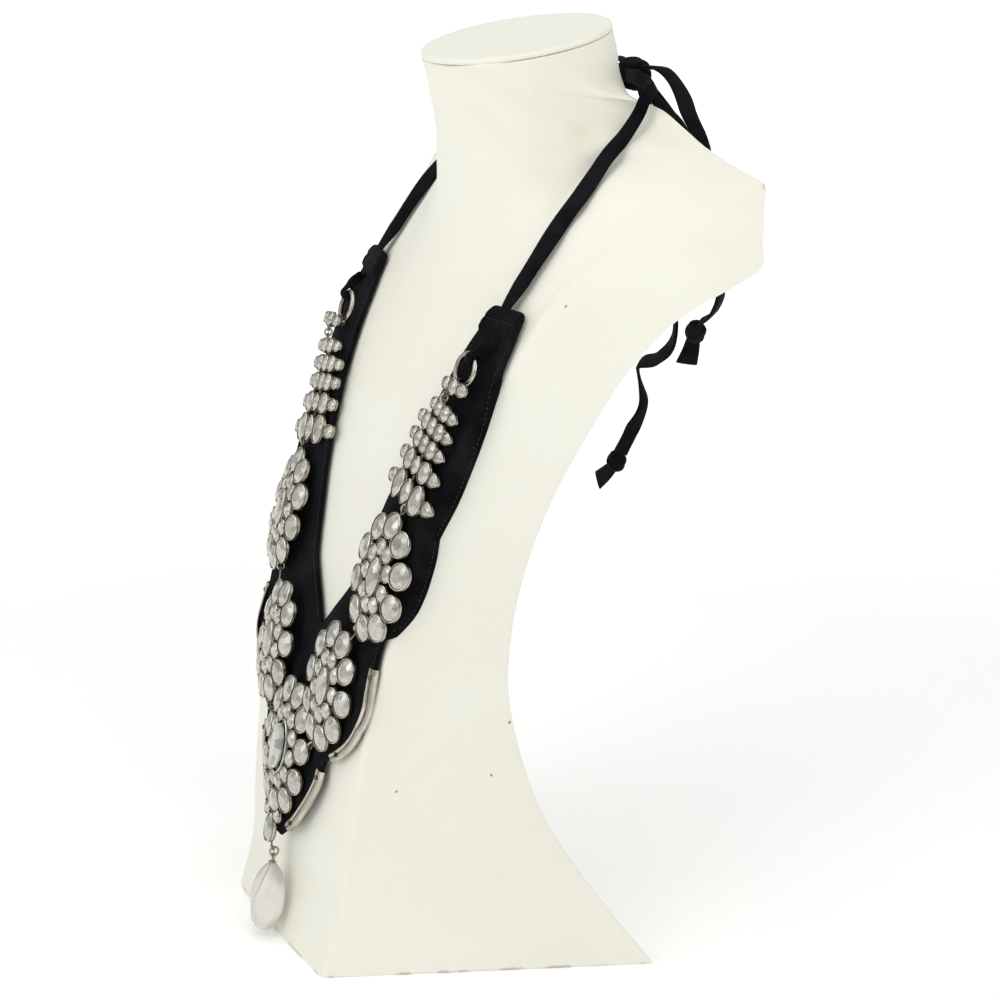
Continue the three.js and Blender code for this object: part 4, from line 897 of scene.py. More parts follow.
for name, (low_z, high_z) in CHANNELS.items():
    z = even_heights(outer_edge, low_z, high_z, 1.1)
    edge, across_way, out_way = edge_frame(z)
    section = np.asarray(CHANNEL_SECTION)
    strip_part = tube(edge[:, None] + section[None, :, :1] * across_way[:, None]
                      + section[None, :, 1:2] * out_way[:, None])
    rivets = []
    for rivet_z in (low_z + RIVET_INSET, high_z - RIVET_INSET):
        edge, across_way, out_way = edge_frame(np.array([rivet_z]))
        seat = edge[0] + RIVET_ACROSS * across_way[0] + RIVET_SEAT * out_way[0]
        rivets.append(lathe(RIVET_PROFILE, seat, out_way[0]))
    parts = [strip_part, *rivets]
    # Painted shade and patina for each point: the section's numbers along the strip, and the rivets
    # evenly darkened.
    dark = patina_and_shade_per_point(parts, [np.tile(section[:, 2], len(z)), 0.75, 0.75])
    both_sides(name + "_strip", parts, silver, "silver", [name],
               marks={"hollow": ("POINT", dark)}, sharp=50)


# ---------------------------------------------------------------- jump rings
# Seven motifs and two links of three stones hang in a V on the bib, joined by small jump rings
# of round wire. Each motif lies in a plane of its own: u to the wearer's left, v up, and the
# height outwards.

MOTIFS = {  # the middle of the stones' rims, the plane's two slopes, the depth below, the turn
    "centre": (0, -69.9, 100.6, 0, 0.21, 3.2, 0),
    "lower_rosette": (35, -60, 146, 0.08, 0.23, 3.2, 0),
    "upper_rosette": (58.5, -42.2, 207.3, 0.14, 0.3, 3.2, 0),
    "row_motif": (63, -19.4, 269.3, 0.05, 0.36, 4, -0.187),
    "stone_link": (73, -8.6, 300.6, 0.1, 0.36, 2.6, 0),
    "big_ring": (70.1, 0.2, 306.9, 0.1, 0.36, 0, 0)}
LINKS = {  # the motifs above and below, the ring's place, and its seats on the two motifs
    "link_ring_a": ("stone_link", "row_motif", (69.5, -10.6, 294.6), (-3, -1), (3, 21)),
    "link_ring_b": ("row_motif", "upper_rosette", (62.6, -28.2, 241), (3.5, -22.6), (2, 26)),
    "link_ring_c": ("upper_rosette", "lower_rosette", (49.5, -48, 179.5), (-11, -20), (9, 23)),
    "link_ring_d": ("lower_rosette", "centre", (27.6, -64.3, 113.2), (-7.5, -23), (19, 10))}
EYE_HEIGHT = 1.6    # of a motif's eyes over the underside of its stones
JUMP_RING = (1.9, 0.5)


def wire_ring(radius, wire, steps=40, columns=12):
    """A ring of round wire in the plane of u and v."""
    turn, angle = np.meshgrid(np.arange(steps) * 2 * np.pi / steps,
                              np.arange(columns) * 2 * np.pi / columns, indexing="ij")
    reach = radius + wire * np.cos(angle)
    grid = np.stack([reach * np.cos(turn), reach * np.sin(turn), wire * np.sin(angle)], axis=-1)
    points, faces = tube(grid, closed=False)
    index = np.arange(steps * columns).reshape(steps, columns)
    last, first = index[-1], index[0]
    faces += np.stack([last, np.roll(last, -1), np.roll(first, -1), first], axis=-1).tolist()
    return points, faces


def placed(part, matrix):
    """The part turned and shifted by a matrix."""
    points, faces = part
    return points @ matrix[:3, :3].T + matrix[:3, 3], faces


def turned(axis, angle, shift=(0, 0, 0)):
    """The matrix of a turn about u, v or the height, then a shift."""
    c, s = math.cos(angle), math.sin(angle)
    i, j = {"u": (1, 2), "v": (2, 0), "h": (0, 1)}[axis]
    matrix = np.eye(4)
    matrix[i, i], matrix[i, j], matrix[j, i], matrix[j, j] = c, -s, s, c
    matrix[:3, 3] = shift
    return matrix


def motif_frame(x, y, z, slope_x, slope_z, sink, turn):
    """The motif's matrix: axes across, up and out of its plane, then its turn in that plane."""
    across = unit(np.array([1, slope_x, 0.0]))
    out = unit(np.array([slope_x, -1, slope_z]))
    matrix = np.eye(4)
    matrix[:3, :3] = np.stack([across, np.cross(out, across), out], axis=1)
    matrix = matrix @ turned("h", turn)
    matrix[:3, 3] = np.array([x, y, z]) - sink * out
    return matrix


frames = {name: motif_frame(*values) for name, values in MOTIFS.items()}


def anchor(name, u, v):
    """The spot at u and v of a motif, at the height of its eyes."""
    return frames[name][:3, :3] @ np.array([u, v, EYE_HEIGHT]) + frames[name][:3, 3]


def link_frame(above, below, place, seat_above, seat_below):
    """A jump ring's matrix: across the chain, along it, and outwards."""
    up = unit(anchor(above, *seat_above) - anchor(below, *seat_below))
    across = unit(np.cross(up, frames[above][:3, 2] + frames[below][:3, 2]))
    matrix = np.eye(4)
    matrix[:3, :3] = np.stack([across, up, np.cross(across, up)], axis=1)
    matrix[:3, 3] = place
    return matrix


for name, (above, below, place, seat_above, seat_below) in LINKS.items():
    matrix = link_frame(above, below, place, seat_above, seat_below) @ turned("v", math.pi / 2)
    ring = placed(wire_ring(*JUMP_RING, steps=36), matrix)
    both_sides(name.replace("link", "jump"), [ring], silver, "silver", [name],
               marks={"hollow": ("POINT", np.full(len(ring[0]), 0.15))}, sharp=40)


# ---------------------------------------------------------------- rosettes
# A long stone in the middle, a ring of small stones round it and a ring of large ones outside,
# soldered rim to rim on a gently domed frame of round wire. Each stone is faceted cut glass on
# a foil back, held by a folded silver rim round a deep bezel cup.

EYE = (1.35, 0.4)
LARGE = (6.1, 7.1, 3.2)
SMALL = (4.1, 4.6, 2.6)
ROSETTE_HALF, ROSETTE_RISE = (16.6, 25.8), 2.6
# The cup's rings: drawn in from its outline, then lifted. The first few are lifted from its
# foot and the rest from its rim.
BEZEL_PROFILE = [(0.3, 0), (0.05, 0.25), (0.0, 0.7), (0.03, -1.3), (0.15, -1.12), (0.08, -0.94),
                 (0.2, -0.5), (0.42, -0.14), (0.66, 0.02), (0.87, -0.04), (1.0, -0.3), (1.05, -0.8)]
# How dark the silver is at each of those rings: patina with painted shade at the cup's foot and in
# the band under its rim, and a painted shadow of the foil where the rim meets the stone; the wall
# between is left bright.
BEZEL_PATINA_AND_SHADE = [1.0, 0.75, 0.25, 0.05, 0.8, 0.5, 0.12, 0.0, 0.0, 0.5, 1.0, 1.0]
FOOT_RINGS = 3
CUP_COLUMNS = 36
STONE_INSET = 0.9
FULL_RIM_HALF = 5.2     # a stone whose half width is less has a rim slimmer in proportion


def oval(half_u, half_v, angle, point=0.0, corner=2.0):
    """An oval |u|^n + |v|^n = 1, n being corner, narrowed towards +v by point."""
    c, s = np.cos(angle), np.sin(angle)
    u = np.sign(c) * np.abs(c) ** (2 / corner)
    v = np.sign(s) * np.abs(s) ** (2 / corner)
    return np.stack([u * half_u * (1 - point * v), v * half_v], axis=-1)


def bezel_cup(half_u, half_v, depth, point=0.0, corner=2.0):
    """A closed cup: rings of the oval, each drawn in and lifted by a row of the profile."""
    angle = np.linspace(0, 2 * np.pi, CUP_COLUMNS, endpoint=False)
    rings = []
    slim = min(1.0, half_u / FULL_RIM_HALF)
    for k, (inset, lift) in enumerate(BEZEL_PROFILE):
        inset = inset * slim
        height = lift if k < FOOT_RINGS else depth + lift
        flat = oval(half_u - inset, half_v - inset, angle, point, corner)
        rings.append(np.column_stack([flat, np.full(CUP_COLUMNS, height)]))
    return tube(np.array(rings))


def cut_stone(half_u, half_v, depth, crown, point=0.0, corner=2.0, table=0.52, sides=8):
    """A faceted crown on a flat back: two girdle corners to each corner of a flat table. Star
    facets run from each table corner to the girdle, and the facets between them join two table
    corners to one girdle corner."""
    inset = STONE_INSET * min(1.0, half_u / FULL_RIM_HALF)
    half_u, half_v = half_u - inset, half_v - inset
    girdle_angle = np.arange(2 * sides) * np.pi / sides
    table_angle = (np.arange(sides) + 0.5) * 2 * np.pi / sides
    girdle = oval(half_u, half_v, girdle_angle, point, corner)
    top = oval(half_u * table, half_v * table, table_angle, point, corner)
    low_z, high_z = depth - 0.45, depth - 0.1 + crown
    points = np.vstack([np.column_stack([girdle, np.full(2 * sides, low_z)]),
                        np.column_stack([girdle, np.full(2 * sides, low_z - 0.4)]),
                        np.column_stack([top, np.full(sides, high_z)])])
    g, t, n = 0, 4 * sides, 2 * sides
    faces = []
    for k in range(sides):
        a, b, c = g + 2 * k, g + 2 * k + 1, g + (2 * k + 2) % n
        faces += [[a, b, t + k], [b, c, t + k], [t + k, c, t + (k + 1) % sides]]
    faces += [[k, n + k, n + (k + 1) % n, (k + 1) % n] for k in range(n)]
    faces += [[t + k for k in range(sides)], [n + k for k in range(n)][::-1]]
    return points, faces


def tones_and_painted_reflections(parts, draw):
    """One number for each face: the stone's own tone, with each facet made lighter or darker at
    random as a painted reflection.
    """
    tones = [np.clip(draw.normal(0.55, 0.07) + draw.normal(0, 0.13, len(faces)), 0, 1)
             for _, faces in parts]
    return np.concatenate(tones)


def joined_bar(start, end, width, columns=8):
    """A round wire from one point to another."""
    start, end = np.asarray(start, float), np.asarray(end, float)
    length = np.linalg.norm(end - start)
    profile = [(width / 2, 0), (width / 2, length)]
    return lathe(profile, start, end - start, columns)


# Foiled stone: a silvery back seen through cut glass. The facets' tones are painted reflections
# of the back, small cells of painted reflection break it up like inner facets, and a clear coat
# gives the glints.
foiled_stone, tree, shader, place = new_material("foiled_stone", (0.7, 0.7, 0.68))
tone = node(tree, "ShaderNodeAttribute", attribute_name="tone").outputs["Fac"]
# Painted reflections: cells of tone stand for inner facets mirroring the foil.
inner_cells = node(tree, "ShaderNodeTexVoronoi", {"Vector": place, "Scale": 420.0})
inner_painted_reflection = node(tree, "ShaderNodeSeparateColor", {0: inner_cells.outputs["Color"]}).outputs[0]
tone_and_painted_reflection = node(tree, "ShaderNodeMix", {0: 0.3, 2: tone, 3: inner_painted_reflection}, data_type="FLOAT")
milk = use_group(tree, patches, Vector=place, Scale=260.0, Contrast=0.4)
facet_painted_reflection = blend_colours(tree, tone_and_painted_reflection.outputs[0], (0.27, 0.27, 0.235, 1), (0.7, 0.7, 0.64, 1))
tree.links.new(blend_colours(tree, stretch(tree, milk, 0, 1, 0, 0.3), facet_painted_reflection, (0.48, 0.48, 0.44, 1)),
               shader.inputs["Base Color"])
tree.links.new(stretch(tree, milk, 0, 1, 0.2, 0.36), shader.inputs["Roughness"])
shader.inputs["Metallic"].default_value = 0.7
shader.inputs["Coat Weight"].default_value = 0.4
shader.inputs["Coat Roughness"].default_value = 0.1


def eyes_of(motif):
    """The eyes soldered to a motif, each with the short wire that carries it."""
    found = []
    for above, below, place, seat_above, seat_below in LINKS.values():
        if motif not in (above, below):
            continue
        sign, seat = (1, seat_above) if motif == above else (-1, seat_below)
        matrix = link_frame(above, below, place, seat_above, seat_below)
        found.append(placed(wire_ring(*EYE, steps=28, columns=10),
                            matrix @ turned("u", 0, (0, sign * JUMP_RING[0], 0))))
        start = matrix @ np.array([0, sign * (JUMP_RING[0] + EYE[0]), 0, 1])
        found.append(joined_bar(start[:3], anchor(motif, *seat), 0.9))
    return found


def metal_and_stones(name, cups, stones, wires, sides=both_sides):
    """A motif's silver as one piece and its stones as another."""
    # Each cup's rings take the profile's patina and painted shade; the wires and eyes are darkened
    # evenly.
    cup_dark = np.tile(np.repeat(BEZEL_PATINA_AND_SHADE, CUP_COLUMNS), len(cups))
    dark = np.concatenate([cup_dark, patina_and_shade_per_point(wires, [0.55] * len(wires))])
    draw = np.random.default_rng(len(stones) * 7 + len(name))
    sides(f"{name}_silver", cups + wires, silver, "silver", [name],
          marks={"hollow": ("POINT", dark)}, sharp=40)
    sides(f"{name}_stones", stones, foiled_stone, "crystal", [name], flat=True,
          marks={"tone": ("FACE", tones_and_painted_reflections(stones, draw))})


def oval_places(count, half_u, half_v, start, centre_v=0.0):
    """Places round an ellipse at even steps of angle, from a start in degrees."""
    angle = np.radians(start + 360 * np.arange(count) / count)
    return np.stack([half_u * np.cos(angle), centre_v + half_v * np.sin(angle)], axis=-1)


def dome_matrix(u, v, half, rise, centre_v=0.0):
    """Lifts a stone to the dome, a paraboloid that falls to 0 at the rim, and tips it to lie
    along it."""
    fall = (u / half[0]) ** 2 + ((v - centre_v) / half[1]) ** 2
    tip = (turned("v", 2 * rise * u / half[0] ** 2)
           @ turned("u", -2 * rise * (v - centre_v) / half[1] ** 2))
    tip[:3, 3] = (u, v, rise * (1 - fall))
    return tip


def stone_set(shape, matrix, crown, draw, point=0.0, corner=2.0, **cut):
    """A cup and its stone, no two quite the same size."""
    half_u, half_v, depth = shape
    half_u, half_v = half_u * draw.uniform(0.97, 1.02), half_v * draw.uniform(0.97, 1.02)
    cup = placed(bezel_cup(half_u, half_v, depth, point, corner), matrix)
    return cup, placed(cut_stone(half_u, half_v, depth, crown, point, corner, **cut), matrix)


def flower(frame, half, rise, centre_v, outer, inner, seed):
    """The two rings of stones, and the wires that run in from the outer one."""
    draw = np.random.default_rng(seed)
    cups, stones, wires = [], [], []
    for places, shape, crown in ((outer, LARGE, 0.95), (inner, SMALL, 0.75)):
        for u, v in places:
            matrix = frame @ dome_matrix(u, v, half, rise, centre_v)
            cup, stone = stone_set(shape, matrix, crown, draw)
            cups.append(cup)
            stones.append(stone)
    for u, v in outer:
        middle = (0.5 * u, centre_v + 0.5 * (v - centre_v), 1.9)
        wires.append(placed(joined_bar((u, v, 0.9), middle, 1.1), frame))
    return cups, stones, wires, draw


for name, start, seed in (("lower_rosette", 28, 3), ("upper_rosette", 11, 4)):
    outer = oval_places(10, *ROSETTE_HALF, start)
    inner = oval_places(9, 8.7, 14.5, start + 4)
    cups, stones, wires, draw = flower(frames[name], ROSETTE_HALF, ROSETTE_RISE, 0, outer, inner,
                                       seed)
    lift = frames[name] @ turned("u", 0, (0, 0, ROSETTE_RISE))
    cup, stone = stone_set((5.2, 10.2, 3.2), lift, 1.1, draw, table=0.6)
    metal_and_stones(name, cups + [cup], stones + [stone], wires + eyes_of(name))


# ---------------------------------------------------------------- centre motif
# The lowest and largest motif is set as the rosettes are, round a cup for the clear crystal. It
# ends in a long pear between two buds, and under the pear is the eye that holds the drop.

CENTRE_HALF, CENTRE_RISE, CENTRE_V = (19.8, 29.4), 3.0, 2.0
PEAR_V = -42
BUD = (5.8, PEAR_V + 8.2)
DROP_PIVOT = np.array([0, -75.5, 45.1])
DROP_RING = (2.3, 0.6)
PEAR_EYE = (1.6, 0.45)

centre_frame = frames["centre"]
outer = oval_places(11, *CENTRE_HALF, -90, CENTRE_V)
inner = oval_places(11, 11.4, 18.2, 90, CENTRE_V)
cups, stones, wires, draw = flower(centre_frame, CENTRE_HALF, CENTRE_RISE, CENTRE_V, outer, inner,
                                   seed=5)
seat = centre_frame @ turned("u", 0, (0, CENTRE_V, CENTRE_RISE))
cups.append(placed(bezel_cup(8, 14.6, 2.2), seat))
pear_place = centre_frame @ turned("u", 0, (0, PEAR_V, 0))
cup, stone = stone_set((4.6, 8.1, 3.4), pear_place, 1.0, draw, point=0.2)
cups.append(cup)
stones.append(stone)
for side in (-1, 1):
    bud_place = centre_frame @ turned("u", 0, (side * BUD[0], BUD[1], 0.2))
    cup, stone = stone_set((3.2, 3.6, 2.8), bud_place, 0.7, draw)
    cups.append(cup)
    stones.append(stone)
for start, end in (((-BUD[0], BUD[1], 1), (BUD[0], BUD[1], 1)),
                   ((0, PEAR_V, 1), (0, CENTRE_V - CENTRE_HALF[1], 1))):
    wires.append(placed(joined_bar(start, end, 1.3), centre_frame))
eyes = eyes_of("centre")
ring_top = DROP_PIVOT + unit(np.array([0, -0.35, 1])) * (DROP_RING[0] + 0.2)
eye_matrix = turned("u", math.pi / 2 + 0.34, ring_top)
eye_top = ring_top + unit(np.array([0, -0.2, 1])) * PEAR_EYE[0]
wires += eyes + [mirrored(part) for part in eyes]
wires += [placed(wire_ring(*PEAR_EYE, steps=30, columns=10), eye_matrix),
          joined_bar(eye_top, anchor("centre", 0, PEAR_V - 3), 1.1)]
metal_and_stones("centre_motif", cups, stones, wires, sides=add_piece)


# ---------------------------------------------------------------- centre crystal
# The long clear stone in the middle of the centre motif stands higher than the rest, with a
# narrow table and two rows of facets, in its own low cup.

clear_crystal, tree, shader, place = new_material("clear_crystal", (0.9, 0.92, 0.92))
veil = use_group(tree, patches, Vector=place, Scale=120.0, Contrast=0.5)
cut = node(tree, "ShaderNodeAttribute", attribute_name="tone").outputs["Fac"]
# Painted reflections: each facet takes a random tone from dark to light, and milky veils pale it in
# patches.
crystal_painted_reflection = blend_colours(tree, cut, (0.36, 0.37, 0.34, 1), (0.88, 0.88, 0.83, 1))
tree.links.new(blend_colours(tree, stretch(tree, veil, 0, 1, 0, 0.3), crystal_painted_reflection,
                             (0.78, 0.78, 0.74, 1)), shader.inputs["Base Color"])
tree.links.new(stretch(tree, veil, 0, 1, 0.1, 0.24), shader.inputs["Roughness"])
shader.inputs["Transmission Weight"].default_value = 0.3
shader.inputs["IOR"].default_value = 1.54

crystal_angle = np.arange(12) * np.pi / 6
crystal_rings = [np.column_stack([oval(half_u, half_v, crystal_angle), np.full(12, height)])
                 for half_u, half_v, height in ((6.1, 11.9, 0), (6.2, 12, 1.2), (5.0, 10.6, 2.3),
                                                (2.6, 7.6, 3.3))]
crystal_place = centre_frame @ turned("u", 0, (0, CENTRE_V, CENTRE_RISE + 2.35))
centre_cut = placed(tube(np.asarray(crystal_rings)), crystal_place)
# One random painted-reflection tone for each facet.
crystal_reflection_tones = np.random.default_rng(12).uniform(0, 1, len(centre_cut[1]))
add_piece("centre_stone", [centre_cut], clear_crystal, "crystal", ["centre_crystal"], flat=True,
          marks={"tone": ("FACE", crystal_reflection_tones)})


# ---------------------------------------------------------------- row motifs
# Five rows of stones that widen downwards, each bowed back towards its ends. Their silver cups
# are soldered to a wire across each row and a spine down the middle. A jump ring at the top
# holds the motif to the stone link, and one at the foot holds the rosette.

ROWS = [  # v, u, spacing, count, then half sizes of the middle stones and of the end stones
    (20.9, 2.2, 6.6, 4, 3.9, 4.2, 3.4, 3.3), (11.6, -0.4, 6.9, 5, 4, 4.5, 3.5, 3.4),
    (2, -0.9, 7.1, 5, 4.1, 4.8, 3.6, 3.5), (-9, -0.3, 8.3, 5, 4.8, 5.8, 4, 3.7),
    (-22.6, 0.4, 9.7, 5, 5.4, 7.8, 4.6, 4)]

draw = np.random.default_rng(6)
row_frame = frames["row_motif"]
cups, stones, wires = [], [], []
for level, (v, u_shift, spacing, count, mid_u, mid_v, end_u, end_v) in enumerate(ROWS):
    offsets = (np.arange(count) - (count - 1) / 2) * spacing
    for u in offsets:
        at_end = abs(u) > offsets[-1] - 0.1
        rhombus = level > 2 and u == 0
        shape = (end_u, end_v, 2.4) if at_end else (mid_u, mid_v - 0.8 * rhombus, 2.8)
        sideways = at_end and u > 0
        point = 0.3 if sideways else 0.16 * np.sign(u) if level == 4 and not at_end else 0.0
        matrix = (row_frame @ turned("u", 0, (u_shift + u, v, 1.2 - 0.0045 * u * u))
                  @ turned("v", 0.009 * u) @ turned("h", -math.pi / 2 if sideways else 0))
        if sideways:
            shape = (shape[1], shape[0], shape[2])
        cup, stone = stone_set(shape, matrix, 0.75, draw, point=point,
                               corner=1.35 if rhombus else 2.0)
        cups.append(cup)
        stones.append(stone)
    wires.append(placed(joined_bar((u_shift + offsets[0], v, 1.3), (u_shift + offsets[-1], v, 1.3),
                                   1.2), row_frame))
wires.append(placed(joined_bar((0, ROWS[0][0], 1.9), (0, ROWS[-1][0], 1.9), 1.6), row_frame))
metal_and_stones("row_motif", cups, stones, wires + eyes_of("row_motif"))


# ---------------------------------------------------------------- stone links and big rings
# Above the rows, three small stones hang by a bail from a plain ring of thick round wire. The
# stones' sizes carry on the row motifs' random draws.

BAIL = (2.8, 0.6)
BAIL_PLACE = (-2, 1.2, -3.2)
BIG_RING = (7.6, 1.3)

trio_frame = frames["stone_link"]
cups, stones = [], []
for u, v, lift, tip, shape in ((0, 0, 0, 0, (3.7, 4.3, 2.6)),
                               (-6.7, 0.6, -0.3, -0.1, (3.6, 3.4, 2.4)),
                               (6.7, -0.4, -0.3, 0.1, (3.6, 3.4, 2.4))):
    matrix = trio_frame @ turned("u", 0, (u, v, lift)) @ turned("v", tip)
    cup, stone = stone_set(shape, matrix, 0.7, draw)
    cups.append(cup)
    stones.append(stone)
bail = placed(wire_ring(*BAIL, steps=36, columns=12),
              trio_frame @ turned("v", math.pi / 2, BAIL_PLACE))
metal_and_stones("stone_link", cups, stones, [bail] + eyes_of("stone_link"))
ring = placed(wire_ring(*BIG_RING, steps=72, columns=20), frames["big_ring"])
# Painted shade: the inner side of the ring's wire is darkened, and its outer side left bright as if
# lit.
inner_painted_shade = np.tile(0.22 - 0.28 * np.cos(np.arange(20) * np.pi / 10), 72)
both_sides("plain_ring", [ring], silver, "silver", ["big_ring"],
           marks={"hollow": ("POINT", inner_painted_shade)}, sharp=40)


# ---------------------------------------------------------------- velvet hanging loops
# A short folded velvet tab holds each big ring. It wraps round the ring's wire, is pinched
# together behind it, and its two ends are sewn flat to the bib below the cuff.

LOOP_INNER = 2.85
LOOP_REACH = 9.5
LOOP_DIP = 3
LOOP_WIDTH = 5
LOOP_THICKNESS = 2.7

bend = np.radians(np.linspace(-90, 90, 9))
loop_rows = [[0, LOOP_REACH + 1.8, -LOOP_INNER - LOOP_DIP - 2, LOOP_WIDTH, 0, -0.8, -1],
             [0, LOOP_REACH - 1, -4.6, LOOP_WIDTH, 0, -0.2, -1],
             [0, LOOP_REACH * 0.45, -2.3, LOOP_WIDTH * 0.9, 0, 0, -1]]
loop_rows += [[0, -LOOP_INNER * math.cos(a), LOOP_INNER * math.sin(a), LOOP_WIDTH * 0.96,
               0, -math.cos(a), math.sin(a)] for a in bend]
loop_rows += [[0, LOOP_REACH * 0.45, 0.1, LOOP_WIDTH * 0.9, 0, 0, 1],
              [0, LOOP_REACH - 1, -1.9, LOOP_WIDTH, 0, 0.4, 1],
              [0, LOOP_REACH + 2, -4.6, LOOP_WIDTH, 0, 1, 0.6]]
path, rest = smooth_path(loop_rows, 90)
swollen = LOOP_THICKNESS * (1.05 + 0.18 * np.cos(np.linspace(-10.5, 10.5, len(path))))
rings = strip_rings(path, unit(rest[:, 1:4]), rest[:, 0], swollen, 24, roundness=2.2)
loop_place = frames["big_ring"] @ turned("h", -0.5, (3.8, 6.6, 0))
both_sides("hanging_loop", [placed(tube(rings), loop_place)], velvet, "velvet", ["velvet_loop"],
           sharp=40)


# ---------------------------------------------------------------- crystal drop
# A pear of milky rock crystal, polished smooth with a flat table cut on its front and back,
# hangs from the lowest pear stone. Its silver cap has an eye that swings on a ring, which hangs
# in the pear stone's own eye.

DROP = "drop"    # the body that swings
DROP_EYE = (1.6, 0.45)
DROP_LEAN = math.radians(10)
CAP_TOP = 5.65
CRYSTAL_LENGTH = 36
TABLE_SHARE = 0.92      # of the half width, where a table cuts it off
CRYSTAL = np.array([  # distance down, half widths across and deep
    (0, 1.7, 1.6), (1.6, 3.7, 3.2), (5, 6.5, 5.6), (9, 8.5, 7.1), (14, 9.9, 8.1), (21, 10.5, 8.6),
    (28, 9.7, 7.95), (33, 7.3, 6.0), (35.2, 4.7, 3.9), (36, 2.2, 1.8)])

rock_crystal, tree, shader, place = new_material("rock_crystal", (0.93, 0.94, 0.93))
veils = use_group(tree, patches, Vector=place, Scale=110.0, Contrast=0.55)
flaws = node(tree, "ShaderNodeTexVoronoi", {"Vector": place, "Scale": 160.0}).outputs["Distance"]
# Painted shade: a dark line along each table's edge, where the light is bent.
table_edge_painted_shade = node(tree, "ShaderNodeAttribute", attribute_name="ridge").outputs["Fac"]
milky = blend_colours(tree, veils, (0.9, 0.885, 0.83, 1), (0.99, 0.98, 0.94, 1))
tree.links.new(blend_colours(tree, stretch(tree, table_edge_painted_shade, 0.3, 1, 0, 0.8), milky,
                             (0.3, 0.27, 0.21, 1)), shader.inputs["Base Color"])
tree.links.new(stretch(tree, veils, 0, 1, 0.04, 0.22), shader.inputs["Roughness"])
shader.inputs["Transmission Weight"].default_value = 0.6
shader.inputs["IOR"].default_value = 1.54
add_bump(tree, shader, flaws, 0.15, 0.0004)

drop_frame = turned("u", -DROP_LEAN, DROP_PIVOT)
down = CRYSTAL_LENGTH * (1 - np.cos(np.linspace(0, np.pi, 44))) / 2
angle = np.arange(72) * np.pi / 36
stone = np.stack([np.outer(height_curve(*CRYSTAL[:, [0, 1]].T)(down), np.cos(angle)),
                  np.outer(height_curve(*CRYSTAL[:, [0, 2]].T)(down), np.sin(angle))], axis=-1)
# Points past a table are pushed straight back onto it. The tables turn a little round the pear
# on the way down, and the edge round each is marked for a painted dark line, which stands for
# the light bent at that edge.
turn = np.radians(np.interp(down, [0, CRYSTAL_LENGTH], [15, -32]))
table_way = np.stack([np.sin(turn), -np.cos(turn)], axis=-1)[:, None]
ridge = np.zeros(stone.shape[:2])
for way in (table_way, -table_way):
    past = np.sum(stone * way, axis=-1, keepdims=True)
    past -= TABLE_SHARE * past.max(axis=1, keepdims=True)
    ridge += np.exp(-(past[..., 0] / 0.22) ** 2)
    stone -= way * np.maximum(past, 0)
level = np.broadcast_to(-CAP_TOP - 0.35 - down[:, None, None], (44, 72, 1))
pear = placed(tube(np.concatenate([stone, level], axis=2)), drop_frame)
add_piece("hanging_crystal", [pear], rock_crystal, "crystal", ["crystal_drop"], body=DROP,
          marks={"ridge": ("POINT", ridge.ravel())}, sharp=12)

ring = placed(wire_ring(*DROP_RING, steps=44), turned("v", math.pi / 2, DROP_PIVOT))
add_piece("hanging_ring", [ring], silver, "silver", ["drop_ring"],
          marks={"hollow": ("POINT", np.full(len(ring[0]), 0.25))}, sharp=40)
eye_centre = DROP_RING[0] + 0.25
peg_top = eye_centre + DROP_EYE[0]
cap_profile = [(0.6, -peg_top - 0.1), (0.62, -CAP_TOP + 0.9), (1.05, -CAP_TOP + 0.75),
               (1.35, -CAP_TOP + 0.6), (1.6, -CAP_TOP + 0.35), (2.0, -CAP_TOP + 0.05),
               (2.08, -CAP_TOP - 0.05), (2.0, -CAP_TOP - 0.12)]
cap = [placed(wire_ring(*DROP_EYE, steps=34), drop_frame
              @ turned("u", math.pi / 2, (0, 0, -eye_centre))),
       placed(lathe(cap_profile, (0, 0, 0), (0, 0, 1), 28), drop_frame)]
add_piece("crystal_cap", cap, silver, "silver", ["drop_eye"], body=DROP,
          marks={"hollow": ("POINT", patina_and_shade_per_point(cap, [0.3, 0.35]))}, sharp=40)


# ---------------------------------------------------------------- neck ribbons
# Two velvet ribbons, sewn as flat tubes, leave the cuffs, lie over the shoulders' front and
# round the sides of the neck, and meet in the bow at the nape.

STRAP = [  # x, y, z, width, then the way its face looks
    [72.7, 17.5, 330.5, 5, 0.25, -0.8, 0.5], [72.2, 21.1, 336, 6, 0.25, -0.8, 0.5],
    [71.6, 28.4, 345, 9.4, 0.25, -0.8, 0.6], [71.4, 36.6, 355.8, 10, 0.3, -0.75, 0.6],
    [71, 44.5, 365.8, 10, 0.3, -0.7, 0.65], [69.8, 52.9, 375.2, 10, 0.3, -0.6, 0.7],
    [67.7, 62.3, 384, 9.8, 0.3, -0.5, 0.8], [64.8, 69.6, 390.4, 9.3, 0.35, -0.45, 0.82],
    [60.8, 79.4, 399, 8, 0.6, -0.45, 0.65], [57.2, 90.6, 407.4, 6.6, 0.75, -0.2, 0.6],
    [62, 95.6, 418.6, 6.4, 0.8, -0.2, 0.6], [59.6, 100, 424.4, 6, 0.7, 0, 0.7],
    [54.6, 106, 427.6, 6, 0.6, 0.3, 0.7],
    [50.5, 110.4, 428.4, 6.5, 0.4, 0.75, 0.5], [42, 112.4, 429, 7.5, 0.2, 1, 0.2],
    [31, 112.6, 429.8, 8, 0.2, 1, 0.2], [6.3, 120.5, 427.6, 7, 0.1, 1, 0.1]]

